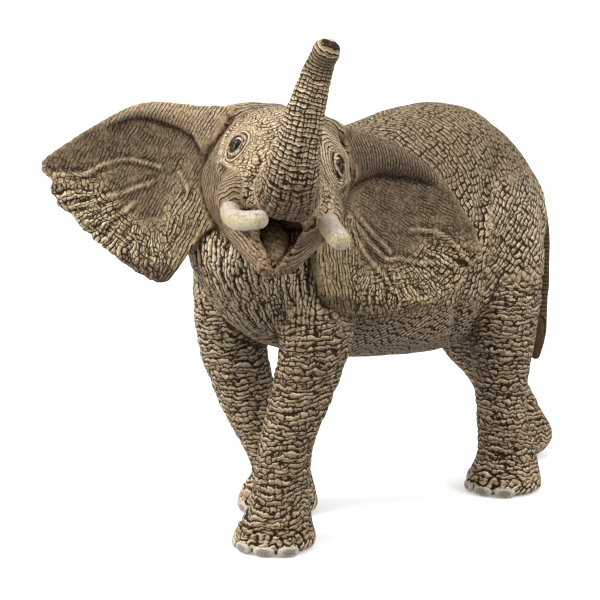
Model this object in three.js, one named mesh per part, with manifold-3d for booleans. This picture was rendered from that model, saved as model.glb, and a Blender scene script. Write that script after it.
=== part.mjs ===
// A toy African elephant bull, striding with its head turned to its left and its trunk raised.
// Millimetres, +Z up. The animal faces -Y and its left side is +X. The origin lies on the
// ground under the middle of the figure. The figure is moulded in separate pieces that plug
// into one another: each limb, ear, tusk and eye has a root in a pocket of what carries it.
import * as THREE from "three";
import { mergeVertices } from "three/addons/utils/BufferGeometryUtils.js";
import Module from "manifold-3d";

const wasm = await Module();
wasm.setup();

// Driving sizes of the body
const withersHeight = 136; // ground to the top of the back
const torsoLength = 146; // chest to rump
const torsoWidth = 66;
const tailLength = 76;
const tailDiameter = 6;

// Driving sizes of the legs
const frontLegHeight = 104; // ground to the root inside the shoulder
const frontLegWidth = 22; // across the upper leg
const hindLegHeight = 104;
const hindLegWidth = 25;
const footDiameter = 27;
const toenailWidth = 7;
const toenailHeight = 6;
const toenailDepth = 4;

// Driving sizes of the head
const headLength = 50; // nape to the root of the trunk
const headWidth = 46;
const headHeight = 46;
const eyeDiameter = 5.6;
const trunkRise = 50; // top of the tip above the root
const trunkReach = 27; // how far the bend stands forward of the root
const trunkWidth = 22; // at the root
const trunkFoldHeight = 0.4; // how far each fold of skin stands out
const nostrilDiameter = 2.2;
const nostrilDepth = 4;
const tuskReach = 33; // along the face, root included
const tuskSpread = 31; // between the middles of the tusks at the cheek
const tuskDiameter = 6.4;
const tuskSheathDiameter = 12;
const jawLength = 34;
const jawWidth = 30;
const mouthWidth = 15;
const tongueWidth = 8;
const tongueThickness = 4;

// Driving sizes of the ears
const earWidth = 57; // hinge to the outer corner
const earHeight = 58;
const earThickness = 2.4;
const earRimThickness = 1.3;
const earCup = 5; // how far the middle of the ear lies behind its rim
const earRoll = 3.5; // how far the folded upper edge stands out in front
const earScallop = 1.1; // how far each wave of the free edge stands out

// Between any two pieces
const seamGap = 0.3;

// Pose, in degrees
const headTurn = 55;
const headRoll = 11;
const earPoses = { left: { sweep: 21, lean: 13 }, right: { sweep: 22, lean: 4 } };

// Numbers of facets and folds
const torsoFacets = { sides: 26, rings: 18 };
const headFacets = { sides: 22, rings: 11 };
const trunkFacets = { sides: 14, rings: 42 };
const legFacets = { sides: 14, rings: 15 };
const jawFacets = { sides: 14, rings: 6 };
const tuskFacets = { sides: 10, rings: 8 };
const sheathFacets = { sides: 12, rings: 4 };
const tongueFacets = { sides: 10, rings: 5 };
const tailFacets = { sides: 8, rings: 14 };
const capRings = 2;
const trunkFolds = 14;
const earSpokes = 36;
const earRings = 5;
const earScallops = 7;
const ballFacets = { around: 10, down: 6 };

const quarterTurn = Math.PI / 2;
const up = new THREE.Vector3(0, 0, 1);
const forward = new THREE.Vector3(0, -1, 0);
const left = new THREE.Vector3(1, 0, 0);
const yAxis = new THREE.Vector3(0, 1, 0);
const degrees = THREE.MathUtils.degToRad;

// Joining, cutting and drawing

// A closed solid from points and triangles, turned so that its faces point out.
function solidOf(points, triangles) {
  const vertProperties = new Float32Array(points.flatMap((p) => [p.x, p.y, p.z]));
  const solidFrom = (faces) =>
    new wasm.Manifold(
      new wasm.Mesh({ numProp: 3, vertProperties, triVerts: new Uint32Array(faces.flat()) }),
    );
  const solid = solidFrom(triangles);
  return solid.volume() > 0 ? solid : solidFrom(triangles.map(([a, b, c]) => [a, c, b]));
}

function solidOfGeometry(geometry) {
  geometry.deleteAttribute("normal");
  geometry.deleteAttribute("uv");
  const merged = mergeVertices(geometry);
  return new wasm.Manifold(
    new wasm.Mesh({
      numProp: 3,
      vertProperties: new Float32Array(merged.attributes.position.array),
      triVerts: new Uint32Array(merged.index.array),
    }),
  );
}

// A ball stretched to three half sizes and placed by a matrix.
function ball(halfSizes, place, grow = 0) {
  const geometry = new THREE.SphereGeometry(1, ballFacets.around, ballFacets.down);
  geometry.scale(...halfSizes.map((half) => half + grow));
  geometry.applyMatrix4(place);
  return solidOfGeometry(geometry);
}

// A table row holds a place and a girth: x, y, z, half width, reach towards form.toward and
// reach away from it. Each is a share of the size that stands at the same spot in sizes.
function formOf(shares, sizes, details) {
  const rows = shares.map((row) => row.map((share, i) => share * sizes[i]));
  return {
    path: rows.map(([x, y, z]) => new THREE.Vector3(x, y, z)),
    girth: rows.map(([, , , half, above, below]) => new THREE.Vector3(half, above, below)),
    bulge: [0, 0],
    ...details,
  };
}

// The same form in another frame.
function placed(form, frame) {
  return {
    ...form,
    path: form.path.map((point) => point.clone().applyMatrix4(frame)),
    toward: form.toward.clone().transformDirection(frame),
  };
}

// A body lofted through oval rings along a curve. form.bulge holds how far its two ends are
// rounded, zero for a flat end. grow makes it larger all round, for the pocket it sits in.
function loft(form, grow = 0) {
  const { path, girth, toward, facets, bulge, relief = () => 0 } = form;
  const { sides, rings } = facets;
  const spine = new THREE.CatmullRomCurve3(path);
  const girths = new THREE.CatmullRomCurve3(girth);
  const points = [];
  const addRing = (t, push, scale) => {
    const along = spine.getTangent(t);
    const above = toward.clone().addScaledVector(along, -toward.dot(along)).normalize();
    const aside = new THREE.Vector3().crossVectors(along, above);
    const centre = spine.getPoint(t).addScaledVector(along, push);
    const size = girths.getPoint(t);
    for (let k = 0; k < sides; k++) {
      const angle = (2 * Math.PI * k) / sides;
      const extra = grow + relief(t, angle);
      const reach = Math.sin(angle) > 0 ? size.y : size.z;
      points.push(
        centre
          .clone()
          .addScaledVector(aside, (size.x + extra) * Math.cos(angle) * scale)
          .addScaledVector(above, (reach + extra) * Math.sin(angle) * scale),
      );
    }
  };
  const domeAngles = (depth) =>
    depth > 0 ? Array.from({ length: capRings }, (_, i) => ((i + 1) / (capRings + 1)) * quarterTurn) : [];
  const depths = bulge.map((depth) => (depth > 0 ? depth + grow : 0));
  const domes = depths.map(domeAngles);
  [...domes[0]].reverse().forEach((a) => addRing(0, -depths[0] * Math.sin(a), Math.cos(a)));
  for (let i = 0; i <= rings; i++) {
    const flatStart = i === 0 && depths[0] === 0;
    const flatEnd = i === rings && depths[1] === 0;
    addRing(i / rings, grow * (Number(flatEnd) - Number(flatStart)), 1);
  }
  domes[1].forEach((a) => addRing(1, depths[1] * Math.sin(a), Math.cos(a)));
  const count = points.length / sides;
  const pole = (t, push) => spine.getPoint(t).addScaledVector(spine.getTangent(t), push);
  const [first, last] = [points.length, points.length + 1];
  points.push(pole(0, -(depths[0] || grow)), pole(1, depths[1] || grow));
  const triangles = [];
  for (let k = 0; k < sides; k++) {
    const next = (k + 1) % sides;
    const end = (count - 1) * sides;
    triangles.push([first, next, k], [last, end + k, end + next]);
    for (let i = 0; i + 1 < count; i++) {
      const [a, b] = [i * sides, (i + 1) * sides];
      triangles.push([a + k, a + next, b + next], [a + k, b + next, b + k]);
    }
  }
  return solidOf(points, triangles);
}

// Torso and tail

const torsoSizes = [torsoWidth, torsoLength, withersHeight, torsoWidth, withersHeight, withersHeight];
const torsoShares = [
  [0.02, 0.5, 0.63, 0.14, 0.09, 0.11],
  [0.02, 0.462, 0.64, 0.25, 0.16, 0.19],
  [0.02, 0.4, 0.65, 0.335, 0.205, 0.26],
  [0.015, 0.315, 0.67, 0.405, 0.262, 0.3],
  [0.015, 0.205, 0.69, 0.465, 0.305, 0.325],
  [0.008, 0.068, 0.695, 0.485, 0.285, 0.32],
  [0, -0.068, 0.695, 0.47, 0.265, 0.305],
  [0, -0.192, 0.699, 0.43, 0.278, 0.287],
  [0.015, -0.295, 0.713, 0.4, 0.28, 0.257],
  [0.053, -0.37, 0.743, 0.355, 0.235, 0.213],
  [0.121, -0.425, 0.787, 0.32, 0.199, 0.184],
  [0.18, -0.455, 0.82, 0.25, 0.13, 0.14],
];
const torsoForm = formOf(torsoShares, torsoSizes, {
  toward: up,
  facets: torsoFacets,
  bulge: [torsoWidth * 0.1, torsoWidth * 0.03],
});

const tailRoot = new THREE.Vector3(torsoWidth * 0.03, torsoLength * 0.455, withersHeight * 0.8);
const tailSizes = [torsoWidth, tailLength, tailLength, tailDiameter, tailDiameter, tailDiameter];
const tailShares = [
  [0, 0, 0, 0.5, 0.5, 0.5],
  [0, 0.1, -0.05, 0.5, 0.5, 0.5],
  [0.01, 0.18, -0.16, 0.42, 0.42, 0.42],
  [0.02, 0.225, -0.32, 0.36, 0.36, 0.36],
  [0.03, 0.225, -0.47, 0.33, 0.33, 0.33],
  [0.035, 0.19, -0.64, 0.34, 0.34, 0.34],
  [0.04, 0.165, -0.8, 0.45, 0.5, 0.45],
  [0.04, 0.15, -0.92, 0.22, 0.25, 0.22],
];
const tailForm = formOf(tailShares, tailSizes, {
  toward: left,
  facets: tailFacets,
  bulge: [tailDiameter * 0.2, tailDiameter * 0.15],
});
tailForm.path.forEach((point) => point.add(tailRoot));

// Legs, each a table from the root inside the body to just under the sole

const frontLegSizes = [
  torsoWidth, torsoLength, frontLegHeight, frontLegWidth, frontLegWidth, frontLegWidth,
];
const hindLegSizes = [
  torsoWidth, torsoLength, hindLegHeight, hindLegWidth, hindLegWidth, hindLegWidth,
];
const frontLeftShares = [
  [0.3, -0.29, 1, 0.3, 0.55, 0.6],
  [0.33, -0.295, 0.87, 0.41, 0.64, 0.66],
  [0.33, -0.308, 0.73, 0.48, 0.6, 0.62],
  [0.32, -0.322, 0.6, 0.49, 0.52, 0.52],
  [0.29, -0.35, 0.46, 0.45, 0.43, 0.43],
  [0.27, -0.37, 0.365, 0.41, 0.39, 0.39],
  [0.26, -0.39, 0.25, 0.39, 0.38, 0.38],
];
const frontRightShares = [
  [-0.28, -0.29, 1, 0.3, 0.55, 0.6],
  [-0.32, -0.3, 0.87, 0.42, 0.66, 0.66],
  [-0.325, -0.305, 0.73, 0.48, 0.64, 0.62],
  [-0.325, -0.3, 0.6, 0.53, 0.56, 0.54],
  [-0.297, -0.284, 0.46, 0.49, 0.45, 0.45],
  [-0.27, -0.267, 0.365, 0.45, 0.41, 0.41],
  [-0.235, -0.24, 0.25, 0.39, 0.38, 0.38],
];
const hindLeftShares = [
  [0.25, 0.29, 1, 0.32, 0.75, 0.75],
  [0.28, 0.3, 0.85, 0.43, 0.78, 0.74],
  [0.3, 0.3, 0.7, 0.46, 0.66, 0.62],
  [0.31, 0.295, 0.56, 0.46, 0.52, 0.5],
  [0.31, 0.293, 0.42, 0.4, 0.41, 0.4],
  [0.31, 0.295, 0.29, 0.35, 0.35, 0.35],
  [0.325, 0.3, 0.16, 0.38, 0.36, 0.38],
];
const hindRightShares = [
  [-0.24, 0.31, 0.96, 0.32, 0.7, 0.7],
  [-0.27, 0.32, 0.83, 0.43, 0.68, 0.68],
  [-0.29, 0.35, 0.69, 0.46, 0.58, 0.6],
  [-0.27, 0.385, 0.56, 0.44, 0.5, 0.5],
  [-0.23, 0.435, 0.43, 0.39, 0.41, 0.42],
  [-0.19, 0.49, 0.33, 0.36, 0.36, 0.37],
  [-0.16, 0.52, 0.25, 0.37, 0.36, 0.37],
];

// The foot below the ankle, in shares of its diameter about the middle of the sole.
const footShares = [
  [0, 0.06, 0.5, 0.36, 0.36, 0.37],
  [0, 0.01, 0.22, 0.45, 0.47, 0.45],
  [0, 0, 0.09, 0.49, 0.51, 0.49],
  [0, 0, -0.06, 0.475, 0.495, 0.475],
];
const front = { sizes: frontLegSizes, toenails: 4 };
const rear = { sizes: hindLegSizes, toenails: 3 };
const feet = {
  front_left: { ...front, legShares: frontLeftShares, soleShare: [0.276, -0.415], turn: 12, tilt: 0 },
  front_right: { ...front, legShares: frontRightShares, soleShare: [-0.2, -0.207], turn: 0, tilt: 0 },
  rear_left: { ...rear, legShares: hindLeftShares, soleShare: [0.333, 0.301], turn: 8, tilt: 0 },
  rear_right: { ...rear, legShares: hindRightShares, soleShare: [-0.1, 0.57], turn: 0, tilt: 26 },
};

// Where a foot stands: turned about the upright, and tilted up over its toes.
function footFrame({ soleShare, turn, tilt }) {
  const toLeft = soleShare[0] * torsoWidth;
  const toRear = soleShare[1] * torsoLength;
  const toes = footDiameter * -0.36;
  return new THREE.Matrix4()
    .makeTranslation(toLeft, toRear, 0)
    .multiply(new THREE.Matrix4().makeRotationZ(degrees(turn)))
    .multiply(new THREE.Matrix4().makeTranslation(0, toes, 0))
    .multiply(new THREE.Matrix4().makeRotationX(degrees(tilt)))
    .multiply(new THREE.Matrix4().makeTranslation(0, -toes, 0));
}

const footSizes = Array(6).fill(footDiameter);
function legForm(foot) {
  const upper = formOf(foot.legShares, foot.sizes, { toward: forward, facets: legFacets });
  const lower = placed(formOf(footShares, footSizes, { toward: forward }), footFrame(foot));
  return {
    ...upper,
    path: [...upper.path, ...lower.path],
    girth: [...upper.girth, ...lower.girth],
    bulge: [footDiameter * 0.2, 0],
  };
}

// Everything below the ground, to cut the soles flat.
const groundDepth = footDiameter;
const ground = solidOfGeometry(
  new THREE.BoxGeometry(torsoLength * 2, torsoLength * 2, groundDepth).translate(0, 0, -groundDepth / 2),
);

// The toenails of one foot, side by side round its front.
function toenailPlaces(foot) {
  const spacing = toenailWidth * 1.16;
  const radius = footDiameter * 0.5;
  const middle = (foot.toenails - 1) / 2;
  return Array.from({ length: foot.toenails }, (_, i) => {
    const angle = (spacing * (i - middle)) / radius;
    const place = new THREE.Matrix4().makeRotationZ(angle);
    const out = new THREE.Vector3(Math.sin(angle), -Math.cos(angle), 0).multiplyScalar(
      radius - toenailDepth * 0.2,
    );
    place.setPosition(out.x, out.y, toenailHeight * 0.55);
    return new THREE.Matrix4().multiplyMatrices(footFrame(foot), place);
  });
}

// Head. Its frame has +X to the animal's left, -Y forward and +Z up, at the middle of the skull

const headFrame = new THREE.Matrix4()
  .makeRotationZ(degrees(headTurn))
  .multiply(new THREE.Matrix4().makeRotationY(degrees(headRoll)))
  .setPosition(torsoWidth * 0.364, torsoLength * -0.445, withersHeight * 0.882);

const headSizes = [headWidth, headLength, headHeight, headWidth, headHeight, headHeight];
const skullShares = [
  [0, 0.54, -0.02, 0.32, 0.28, 0.3],
  [0, 0.42, -0.02, 0.44, 0.42, 0.42],
  [0, 0.22, 0, 0.52, 0.51, 0.5],
  [0, 0, 0, 0.5, 0.52, 0.48],
  [0, -0.18, -0.02, 0.42, 0.43, 0.42],
  [0, -0.34, -0.06, 0.34, 0.28, 0.32],
  [0, -0.46, -0.1, 0.28, 0.2, 0.24],
];
const skullForm = formOf(skullShares, headSizes, {
  toward: up,
  facets: headFacets,
  bulge: [headLength * 0.08, headLength * 0.08],
});

// Tusks and the sheaths of lip that they grow out of. side is 1 on the left, -1 on the right

const tuskRoot = new THREE.Vector3(tuskSpread / 2, headLength * -0.34, headHeight * -0.04);
const tuskSizes = [tuskSpread, tuskReach, tuskReach, tuskDiameter, tuskDiameter, tuskDiameter];
const tuskShares = {
  left: [
    [-0.087, 0.22, 0.08, 0.42, 0.42, 0.42],
    [-0.081, 0.015, -0.035, 0.5, 0.5, 0.5],
    [-0.071, -0.2, -0.132, 0.52, 0.52, 0.52],
    [-0.052, -0.41, -0.181, 0.52, 0.52, 0.52],
    [-0.039, -0.62, -0.184, 0.51, 0.51, 0.51],
    [-0.035, -0.79, -0.162, 0.48, 0.48, 0.48],
    [-0.039, -0.85, -0.15, 0.4, 0.4, 0.4],
  ],
  right: [
    [-0.06, 0.22, 0.12, 0.42, 0.42, 0.42],
    [0.01, 0.015, -0.02, 0.5, 0.5, 0.5],
    [0.045, -0.2, -0.144, 0.52, 0.52, 0.52],
    [0.023, -0.41, -0.187, 0.52, 0.52, 0.52],
    [-0.052, -0.62, -0.156, 0.5, 0.5, 0.5],
    [-0.158, -0.8, -0.093, 0.47, 0.47, 0.47],
    [-0.2, -0.87, -0.068, 0.4, 0.4, 0.4],
  ],
};
const sheathSizes = [tuskSpread, tuskReach, tuskReach, ...Array(3).fill(tuskSheathDiameter)];
const sheathShares = {
  left: [
    [-0.18, 0.24, 0.15, 0.4, 0.4, 0.4],
    [-0.1, 0.06, 0.01, 0.5, 0.5, 0.5],
    [-0.06, -0.08, -0.07, 0.46, 0.46, 0.46],
    [-0.05, -0.16, -0.12, 0.38, 0.38, 0.38],
  ],
  right: [
    [-0.14, 0.24, 0.16, 0.4, 0.4, 0.4],
    [-0.03, 0.06, 0.02, 0.5, 0.5, 0.5],
    [0.03, -0.08, -0.07, 0.46, 0.46, 0.46],
    [0.045, -0.16, -0.12, 0.38, 0.38, 0.38],
  ],
};
function tuskLike(shares, sizes, diameter, facets, side) {
  const form = formOf(shares, sizes, { toward: up, facets });
  form.bulge = [diameter * 0.15, diameter * 0.2];
  form.path.forEach((point) => point.add(tuskRoot).multiply(new THREE.Vector3(side, 1, 1)));
  return placed(form, headFrame);
}

// Trunk: out of the face, forward, then up in an easy bend

const trunkRoot = new THREE.Vector3(0, headLength * -0.26, headHeight * 0.02);
const trunkSizes = [headWidth, trunkReach, trunkRise, trunkWidth, trunkWidth, trunkWidth];
const trunkShares = [
  [0, 0, 0.035, 0.42, 0.44, 0.44],
  [-0.01, -0.35, 0.024, 0.4, 0.43, 0.43],
  [-0.03, -0.68, 0.066, 0.4, 0.43, 0.43],
  [-0.045, -0.9, 0.17, 0.38, 0.4, 0.4],
  [-0.045, -0.99, 0.32, 0.31, 0.31, 0.31],
  [-0.04, -1.02, 0.48, 0.27, 0.28, 0.28],
  [-0.035, -1.02, 0.62, 0.24, 0.25, 0.25],
  [-0.02, -1.02, 0.75, 0.215, 0.22, 0.22],
  [-0.005, -1.04, 0.88, 0.19, 0.19, 0.19],
  [0.01, -1.13, 0.985, 0.175, 0.17, 0.17],
];
const uprightTrunk = formOf(trunkShares, trunkSizes, {
  toward: left,
  facets: trunkFacets,
  bulge: [trunkWidth * 0.1, trunkWidth * 0.04],
  relief: (t) => trunkFoldHeight * Math.cos(t * trunkFolds * 2 * Math.PI),
});
uprightTrunk.path.forEach((point) => point.add(trunkRoot));
const trunkForm = placed(uprightTrunk, headFrame);

// One of the two nostrils, a blind hole down into the tip of the trunk.
function nostril(side) {
  const spine = new THREE.CatmullRomCurve3(trunkForm.path);
  const along = spine.getTangent(1);
  const aside = trunkForm.toward.clone().multiplyScalar(side * nostrilDiameter * 0.75);
  const place = new THREE.Matrix4()
    .makeRotationFromQuaternion(new THREE.Quaternion().setFromUnitVectors(yAxis, along))
    .setPosition(spine.getPoint(1).add(aside));
  const radius = nostrilDiameter / 2;
  const hole = new THREE.CylinderGeometry(radius, radius, nostrilDepth * 2, ballFacets.around);
  return solidOfGeometry(hole.applyMatrix4(place));
}

// Jaw, mouth and tongue

const jawRoot = new THREE.Vector3(0, headLength * 0.02, headHeight * -0.22);
const jawSizes = [jawWidth, jawLength, jawLength, jawWidth, jawWidth, jawWidth];
const jawShares = [
  [0, 0.1, 0.05, 0.45, 0.2, 0.26],
  [0, -0.18, -0.1, 0.54, 0.24, 0.28],
  [-0.01, -0.42, -0.2, 0.42, 0.24, 0.25],
  [-0.03, -0.6, -0.29, 0.28, 0.2, 0.19],
  [-0.06, -0.73, -0.36, 0.15, 0.12, 0.12],
];
const mouthShares = [
  [0, -0.12, -0.056, 0.3, 0.23, 0.23],
  [0.005, -0.3, -0.041, 0.52, 0.27, 0.33],
  [0.005, -0.5, -0.056, 0.54, 0.33, 0.44],
  [-0.02, -0.7, -0.159, 0.23, 0.57, 0.41],
  [-0.05, -0.92, -0.276, 0.12, 0.73, 0.25],
];
const tongueShares = [
  [0, -0.16, -0.11, 0.4, 0.4, 0.5],
  [0, -0.34, -0.155, 0.5, 0.5, 0.5],
  [0, -0.5, -0.215, 0.42, 0.5, 0.5],
  [-0.01, -0.62, -0.295, 0.26, 0.36, 0.4],
];
const mouthSizes = [jawWidth, jawLength, jawLength, mouthWidth, mouthWidth, mouthWidth];
const tongueSizes = [
  jawWidth, jawLength, jawLength, tongueWidth, tongueThickness, tongueThickness,
];
function jawLike(shares, sizes, bulge, facets = jawFacets) {
  const form = formOf(shares, sizes, { toward: up, facets, bulge: [bulge, bulge] });
  form.path.forEach((point) => point.add(jawRoot));
  return placed(form, headFrame);
}
const jawForm = jawLike(jawShares, jawSizes, jawWidth * 0.08);
const mouthForm = jawLike(mouthShares, mouthSizes, mouthWidth * 0.1);
const tongueForm = jawLike(tongueShares, tongueSizes, tongueWidth * 0.15, tongueFacets);

// Ears: a cupped blade with a scalloped free edge. Its frame has +X outwards and +Z up

const earHinge = new THREE.Vector3(headWidth * 0.42, headLength * 0.16, headHeight * 0.02);
const earOutlineShares = {
  left: [
    [-0.1, 0.21],
    [0.05, 0.32],
    [0.32, 0.293],
    [0.58, 0.193],
    [0.8, 0.03],
    [0.965, -0.165],
    [1, -0.275],
    [0.92, -0.41],
    [0.76, -0.54],
    [0.46, -0.64],
    [0.21, -0.675],
    [0.03, -0.635],
    [-0.05, -0.52],
    [-0.1, -0.24],
  ],
  right: [
    [-0.1, 0.21],
    [0.05, 0.32],
    [0.33, 0.286],
    [0.56, 0.21],
    [0.84, -0.028],
    [0.99, -0.195],
    [0.91, -0.293],
    [0.755, -0.436],
    [0.526, -0.562],
    [0.28, -0.665],
    [0.15, -0.66],
    [0.07, -0.517],
    [0.005, -0.38],
    [-0.1, -0.2],
  ],
};
const earMiddleShare = [0.36, -0.2];
const earRollShare = 0.8; // of the way from the middle of the ear to its rim

function earFrame(side, { sweep, lean }) {
  const local = new THREE.Matrix4()
    .makeRotationZ(degrees(sweep))
    .multiply(new THREE.Matrix4().makeRotationX(degrees(-lean)))
    .setPosition(earHinge);
  const mirror = new THREE.Matrix4().makeScale(side, 1, 1);
  return headFrame.clone().multiply(mirror).multiply(local);
}

function earSolid(outlineShares, frame, grow = 0) {
  const outline = new THREE.CatmullRomCurve3(
    outlineShares.map(([out, rise]) => new THREE.Vector3(out * earWidth, 0, rise * earHeight)),
    true,
  );
  const [outShare, riseShare] = earMiddleShare;
  const middle = new THREE.Vector3(outShare * earWidth, 0, riseShare * earHeight);
  const pointAt = (k, share, face) => {
    const edge = outline.getPoint(k / earSpokes);
    const spoke = edge.clone().sub(middle);
    const length = spoke.length();
    const point = middle.clone().addScaledVector(spoke, (share * (length + grow)) / length);
    const free = THREE.MathUtils.smoothstep(point.x, 0, earWidth * 0.4);
    const wave = Math.cos((k / earSpokes) * earScallops * 2 * Math.PI) * earScallop;
    const half = THREE.MathUtils.lerp(earThickness, earRimThickness, share ** 2) / 2 + grow;
    const upper =
      THREE.MathUtils.smoothstep(point.z, 0, earHeight * 0.16) *
      (1 - THREE.MathUtils.smoothstep(point.x, earWidth * 0.4, earWidth * 0.75));
    const crest = Math.max(0, 1 - Math.abs(share - earRollShare) / (1 - earRollShare));
    const roll = face < 0 ? earRoll * upper * crest : 0;
    point.y = earCup * (1 - share ** 2) * free + wave * free * share ** 4 + face * half - roll;
    return point.applyMatrix4(frame);
  };
  const points = [];
  const ringShares = Array.from({ length: earRings }, (_, i) => (i + 1) / earRings);
  for (const face of [-1, 1]) {
    for (const share of ringShares) {
      for (let k = 0; k < earSpokes; k++) points.push(pointAt(k, share, face));
    }
    points.push(pointAt(0, 0, face));
  }
  const sheet = earRings * earSpokes + 1;
  const triangles = [];
  for (let k = 0; k < earSpokes; k++) {
    const next = (k + 1) % earSpokes;
    for (const [start, flip] of [[0, false], [sheet, true]]) {
      const faces = [[start + sheet - 1, start + k, start + next]];
      for (let i = 0; i + 1 < earRings; i++) {
        const [a, b] = [start + i * earSpokes, start + (i + 1) * earSpokes];
        faces.push([a + k, b + k, b + next], [a + k, b + next, a + next]);
      }
      triangles.push(...faces.map(([a, b, c]) => (flip ? [a, c, b] : [a, b, c])));
    }
    const rim = (earRings - 1) * earSpokes;
    const [a, b] = [rim + k, rim + next];
    triangles.push([a, a + sheet, b + sheet], [a, b + sheet, b]);
  }
  return solidOf(points, triangles);
}

// Pieces, each a function that gives the solid grown by a margin. A piece further down the
// list is pocketed for every piece above it that it meets

const eyeShares = [0.344, -0.168, 0.235];
function eyePlace(side) {
  const [aside, ahead, rise] = eyeShares;
  const place = new THREE.Matrix4().makeTranslation(
    side * aside * headWidth,
    ahead * headLength,
    rise * headHeight,
  );
  return headFrame.clone().multiply(place);
}

const body = new THREE.Group();
const head = new THREE.Group();
head.applyMatrix4(headFrame);
const elephant = new THREE.Group().add(body, head);

const pieces = [];
const addPiece = (name, look, build, group = head) => pieces.push({ name, look, build, group });

for (const [place, foot] of Object.entries(feet)) {
  const half = [toenailWidth / 2, toenailDepth / 2, toenailHeight / 2];
  toenailPlaces(foot).forEach((matrix, i) => {
    const toenail = (grow) => ball(half, matrix, grow).subtract(ground);
    addPiece(`${place}_toenail_${i + 1}`, "nail", toenail, body);
  });
}
const sides = { left: 1, right: -1 };
for (const [name, side] of Object.entries(sides)) {
  const half = Array(3).fill(eyeDiameter / 2);
  addPiece(`${name}_eye`, "eye", (grow) => ball(half, eyePlace(side), grow));
  const tusk = tuskLike(tuskShares[name], tuskSizes, tuskDiameter, tuskFacets, side);
  addPiece(`${name}_tusk`, "ivory", (grow) => loft(tusk, grow));
}
addPiece("tongue", "tongue", (grow) => loft(tongueForm, grow));
addPiece("tail", "skin", (grow) => loft(tailForm, grow), body);
for (const [name, side] of Object.entries(sides)) {
  const frame = earFrame(side, earPoses[name]);
  addPiece(`${name}_ear`, "ear", (grow) => earSolid(earOutlineShares[name], frame, grow));
}
const bothNostrils = nostril(sides.left).add(nostril(sides.right));
addPiece("trunk", "skin", (grow) => loft(trunkForm, grow).subtract(bothNostrils));
addPiece("lower_jaw", "skin", (grow) => loft(jawForm, grow).subtract(loft(mouthForm, -grow)));
for (const [place, foot] of Object.entries(feet)) {
  addPiece(`${place}_leg`, "skin", (grow) => loft(legForm(foot), grow).subtract(ground), body);
}
addPiece("head", "skin", (grow) => {
  const sheaths = Object.entries(sides).map(([name, side]) => {
    const shares = sheathShares[name];
    return loft(tuskLike(shares, sheathSizes, tuskSheathDiameter, sheathFacets, side), grow);
  });
  const skull = loft(placed(skullForm, headFrame), grow);
  return sheaths.reduce((sum, sheath) => sum.add(sheath), skull).subtract(loft(mouthForm, -grow));
});
addPiece("torso", "skin", (grow) => loft(torsoForm, grow), body);

const boxesMeet = (a, b) => [0, 1, 2].every((i) => a.min[i] < b.max[i] && b.min[i] < a.max[i]);

const looks = {
  skin: { color: 0x7d6f5f, roughness: 0.75 },
  ear: { color: 0x786a55, roughness: 0.8 },
  ivory: { color: 0xd8cdb4, roughness: 0.45 },
  nail: { color: 0xb9ae9d, roughness: 0.6 },
  eye: { color: 0x1c1713, roughness: 0.2 },
  tongue: { color: 0x8d6252, roughness: 0.6 },
};

const cutters = [];
for (const { name, look, build, group } of pieces) {
  let solid = build(0);
  for (const cutter of cutters) {
    if (boxesMeet(cutter.boundingBox(), solid.boundingBox())) solid = solid.subtract(cutter);
  }
  cutters.push(build(seamGap));
  const { vertProperties, triVerts } = solid.getMesh();
  const geometry = new THREE.BufferGeometry();
  geometry.setAttribute("position", new THREE.BufferAttribute(vertProperties, 3));
  geometry.setIndex(new THREE.BufferAttribute(triVerts, 1));
  geometry.applyMatrix4(group.matrix.clone().invert());
  geometry.computeVertexNormals();
  const mesh = new THREE.Mesh(geometry, new THREE.MeshStandardMaterial(looks[look]));
  mesh.name = name;
  group.add(mesh);
}

// The origin goes to the ground under the middle of the figure.
const space = new THREE.Box3().setFromObject(elephant, true);
const middle = space.getCenter(new THREE.Vector3());
elephant.position.set(-middle.x, -middle.y, -space.min.z);

export default elephant;
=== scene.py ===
# A painted toy African elephant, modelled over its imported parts: the skin of all the moulded
# pieces is grown from them as one fine mesh, sculpted, and cut apart again piece by piece.
# Shapes are worked out in millimetres and handed to Blender in metres. The larger folds are
# sculpted in the mesh. The fine creases are bump and paint in the skin's material.
import itertools
import math
from collections import defaultdict

import bpy
import numpy as np
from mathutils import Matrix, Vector
from mathutils.bvhtree import BVHTree


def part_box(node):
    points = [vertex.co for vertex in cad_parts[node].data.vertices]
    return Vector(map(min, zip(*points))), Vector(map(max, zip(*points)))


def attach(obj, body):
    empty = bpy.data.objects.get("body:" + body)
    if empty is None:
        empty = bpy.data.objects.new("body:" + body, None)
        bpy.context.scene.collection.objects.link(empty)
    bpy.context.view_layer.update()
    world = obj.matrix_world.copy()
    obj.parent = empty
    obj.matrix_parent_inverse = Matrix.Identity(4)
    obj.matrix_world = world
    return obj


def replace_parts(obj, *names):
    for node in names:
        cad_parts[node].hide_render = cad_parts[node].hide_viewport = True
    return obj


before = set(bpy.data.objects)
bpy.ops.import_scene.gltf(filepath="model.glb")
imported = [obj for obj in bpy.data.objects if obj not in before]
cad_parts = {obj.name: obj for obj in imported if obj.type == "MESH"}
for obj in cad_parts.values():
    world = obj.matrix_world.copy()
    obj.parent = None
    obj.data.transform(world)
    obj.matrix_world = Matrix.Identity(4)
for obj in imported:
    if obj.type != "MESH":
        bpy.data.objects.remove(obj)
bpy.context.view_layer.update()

LEGS = ["front_left_leg", "front_right_leg", "rear_left_leg", "rear_right_leg"]
NAILS = {"front_left": 4, "front_right": 4, "rear_left": 3, "rear_right": 3}
SKIN = ["torso", "head", "lower_jaw", "trunk", "tail", *LEGS, "left_ear", "right_ear"]
SIDES = {"left": 1, "right": -1}
COARSE_VOXEL, FINE_VOXEL = ((1.1, 0.5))

# Numbers: smooth steps, noise and paths

dice = np.random.default_rng(7)
SHUFFLE = dice.permutation(256)
SLOPES = dice.normal(size=(256, 3))
SLOPES /= np.linalg.norm(SLOPES, axis=1)[:, None]


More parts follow.
